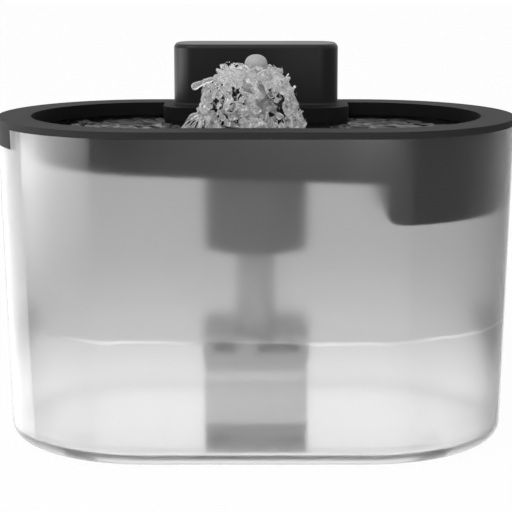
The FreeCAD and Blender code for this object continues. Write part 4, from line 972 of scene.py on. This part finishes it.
def soft_box(name, place, target, size, power):
    light = bpy.data.lights.new(name, "AREA")
    light.shape = "RECTANGLE"
    light.size, light.size_y = size
    light.energy = power
    made = bpy.data.objects.new(name, light)
    made.location = place
    made.rotation_euler = (Vector(target) - Vector(place)).to_track_quat("-Z", "Y").to_euler()
    scene.collection.objects.link(made)


soft_box("key", KEY_PLACE, KEY_TARGET, KEY_SIZE, KEY_POWER)
print("key lamp:", KEY_POWER, "W")

# %% [markdown]
# Screens for the reflections
#
# A lamp's shape shows in a glossy wall, so the screens around the tank are drawn from their own
# reflections. A ray that leaves the camera and meets the wall at an angle goes on at twice that
# angle. The screens follow those rays along the floor to half a metre away and then turn up, with a
# brightness stored on every point, so an edge between two brightnesses shows on the tank as an
# upright line. They give the white stripe at the left, the paler front and the dark right end.
# Only glossy rays see them, and they stay low, so that the tower and the dish don't mirror them.

# %% Screen brightness
SCREEN_DISTANCE = 0.5
SCREEN_LEFT = [(75, 2.2), (71, 2.4), (67, 2.6), (62, 2.8), (57, 3.0), (52.5, 3.2), (52.2, 7), (49, 10),
               (45, 12.5), (40, 12.2), (36, 11), (31.8, 10), (27, 8.7), (23.3, 7.5), (20.2, 5), (18.2, 0.1),
               (5, 0.1), (0, 0.3)]
SCREEN_FLAT = [(-33, 1.2), (0, 1.95), (33, 2.8)]
SCREEN_RIGHT = [(0, 4.4), (2, 4.5), (8, 3.2), (10.5, 2.4), (14, 1.0), (17, 0), (22, 0), (28, 0), (34, 0),
                (40, 0), (46, 0), (52, 0), (57, 0), (62, 0.1), (67, 0.3), (71, 0.5), (75, 0.6)]
SCREEN_FOOT = [(0.2, 0.0), (0.26, 0.07), (0.36, 0.19), (0.444, 0.36), (0.5, 0.43)]
SCREEN_WALL = [(0, 0.43), (0.011, 0.5), (0.026, 0.64), (0.049, 1.0)]
FRONT_WALL = [(0, 0.0), (0.03, 0.3), (0.06, 1.0)]
LEFT_EVEN_FROM = 52.4
LEFT_TALL_FROM = 19
RIGHT_EVEN_FROM = 15
SCREEN_REACHES = (0.01, 0.1, 0.2, 0.26, 0.31, 0.36, 0.4, 0.444, 0.5)
SCREEN_RISES = (0.011, 0.026, 0.049, 0.06, 0.1, 0.14)


def between(stops, value):
    """Straight lines through (place, value) pairs."""
    for (a, low), (b, high) in zip(stops, stops[1:]):
        if value <= b:
            return low + (high - low) * max(0, (value - a) / (b - a))
    return stops[-1][1]


def soft_front(brightness):
    """The front card stands on a white floor, so it fades to white at its foot."""
    return lambda far, rise: 1 + (brightness - 1) * between(FRONT_WALL, rise)


def tall_left(brightness):
    """The left box fades out on the floor towards the tank."""
    def glow(far, rise):
        return brightness * (between(SCREEN_WALL, rise) if rise else between(SCREEN_FOOT, far))
    return glow


def even(brightness):
    return lambda far, rise: brightness


print("the left box stops at", LEFT_EVEN_FROM, "degrees from the front")


# %% Screen mesh
def lit_material():
    """Light of its own, as bright as the glow that is stored on each point."""
    material, network = bare_material("lit screen")
    stored = network.node("ShaderNodeAttribute", {"attribute_name": "glow"}, output="Fac")
    light = network.node("ShaderNodeEmission", None, {"Strength": stored})
    network.node("ShaderNodeOutputMaterial", None, {"Surface": light})
    return material


def screen(name, rows):
    """A mesh through rows of (place, brightness) that only glossy rays see."""
    mesh = bmesh.new()
    glow = mesh.verts.layers.float.new("glow")
    made_rows = []
    for row in rows:
        made_rows.append([])
        for place, brightness in row:
            vertex = mesh.verts.new(place)
            vertex[glow] = brightness
            made_rows[-1].append(vertex)
    for one, other in zip(made_rows, made_rows[1:]):
        for number in range(len(one) - 1):
            mesh.faces.new((one[number], other[number], other[number + 1], one[number + 1]))
    made = placed(name, mesh)
    made.data.materials.append(lit_material())
    for kind in ("camera", "diffuse", "transmission", "shadow"):
        setattr(made, "visible_" + kind, False)


def reflected_way(start, normal):
    """Level direction in which a ray from the camera leaves a point of the tank."""
    ray = Vector((start.x - CAMERA_PLACE.x, start.y - CAMERA_PLACE.y, 0)).normalized()
    return ray - 2 * ray.dot(normal) * normal


def screen_row(start, normal, glow):
    """Points out along the floor and up the far wall; glow gives the brightness from reach and rise."""
    reach = [(far, 0) for far in SCREEN_REACHES] + [(SCREEN_DISTANCE, rise) for rise in SCREEN_RISES]
    way = reflected_way(start, normal)
    return [(start + way * far + Vector((0, 0, rise + 0.5 * MM)), glow(far, rise)) for far, rise in reach]


def round_end(side, angle):
    """A point of the tank's round end at an angle from the front, and the way it faces."""
    turn = math.radians(angle)
    normal = Vector((side * math.sin(turn), -math.cos(turn), 0))
    return Vector((side * end_place, 0, 0)) + normal * TANK_TOP_RADIUS, normal


def reflected_screens():
    """Rows from the left end, over the flat front, to the right end."""
    rows = []
    for angle, brightness in SCREEN_LEFT:
        kind = even if angle > LEFT_EVEN_FROM else tall_left if angle > LEFT_TALL_FROM else soft_front
        rows.append(screen_row(*round_end(-1, angle), kind(brightness)))
    for along, brightness in SCREEN_FLAT:
        start = Vector((along * MM, -TANK_TOP_RADIUS, 0))
        rows.append(screen_row(start, Vector((0, -1, 0)), soft_front(brightness)))
    for angle, brightness in SCREEN_RIGHT:
        kind = soft_front if angle < RIGHT_EVEN_FROM else even
        rows.append(screen_row(*round_end(1, angle), kind(brightness)))
    screen("reflected_screens", rows)
    print("screens:", len(rows), "rows")


reflected_screens()

# %% [markdown]
# The camera
#
# The photograph was taken from a little above the rim with a long lens, so the rim shows as a
# narrow oval. The camera's place, tilt and lens were fitted to the outline of the object. The
# Standard view shows plain display colours, so a tone renders about as it is written.

# %% Camera
CAMERA_LENS = 129.7
CAMERA_SENSOR = 36
CAMERA_DIP = 10.59


def camera():
    lens = bpy.data.cameras.new("camera")
    lens.lens = CAMERA_LENS
    lens.sensor_width = CAMERA_SENSOR
    made = bpy.data.objects.new("camera", lens)
    made.location = CAMERA_PLACE
    made.rotation_euler = (math.radians(90 - CAMERA_DIP), 0, 0)
    scene.collection.objects.link(made)
    scene.camera = made


camera()
scene.view_settings.view_transform = "Standard"
print("camera looks down by", CAMERA_DIP, "degrees")
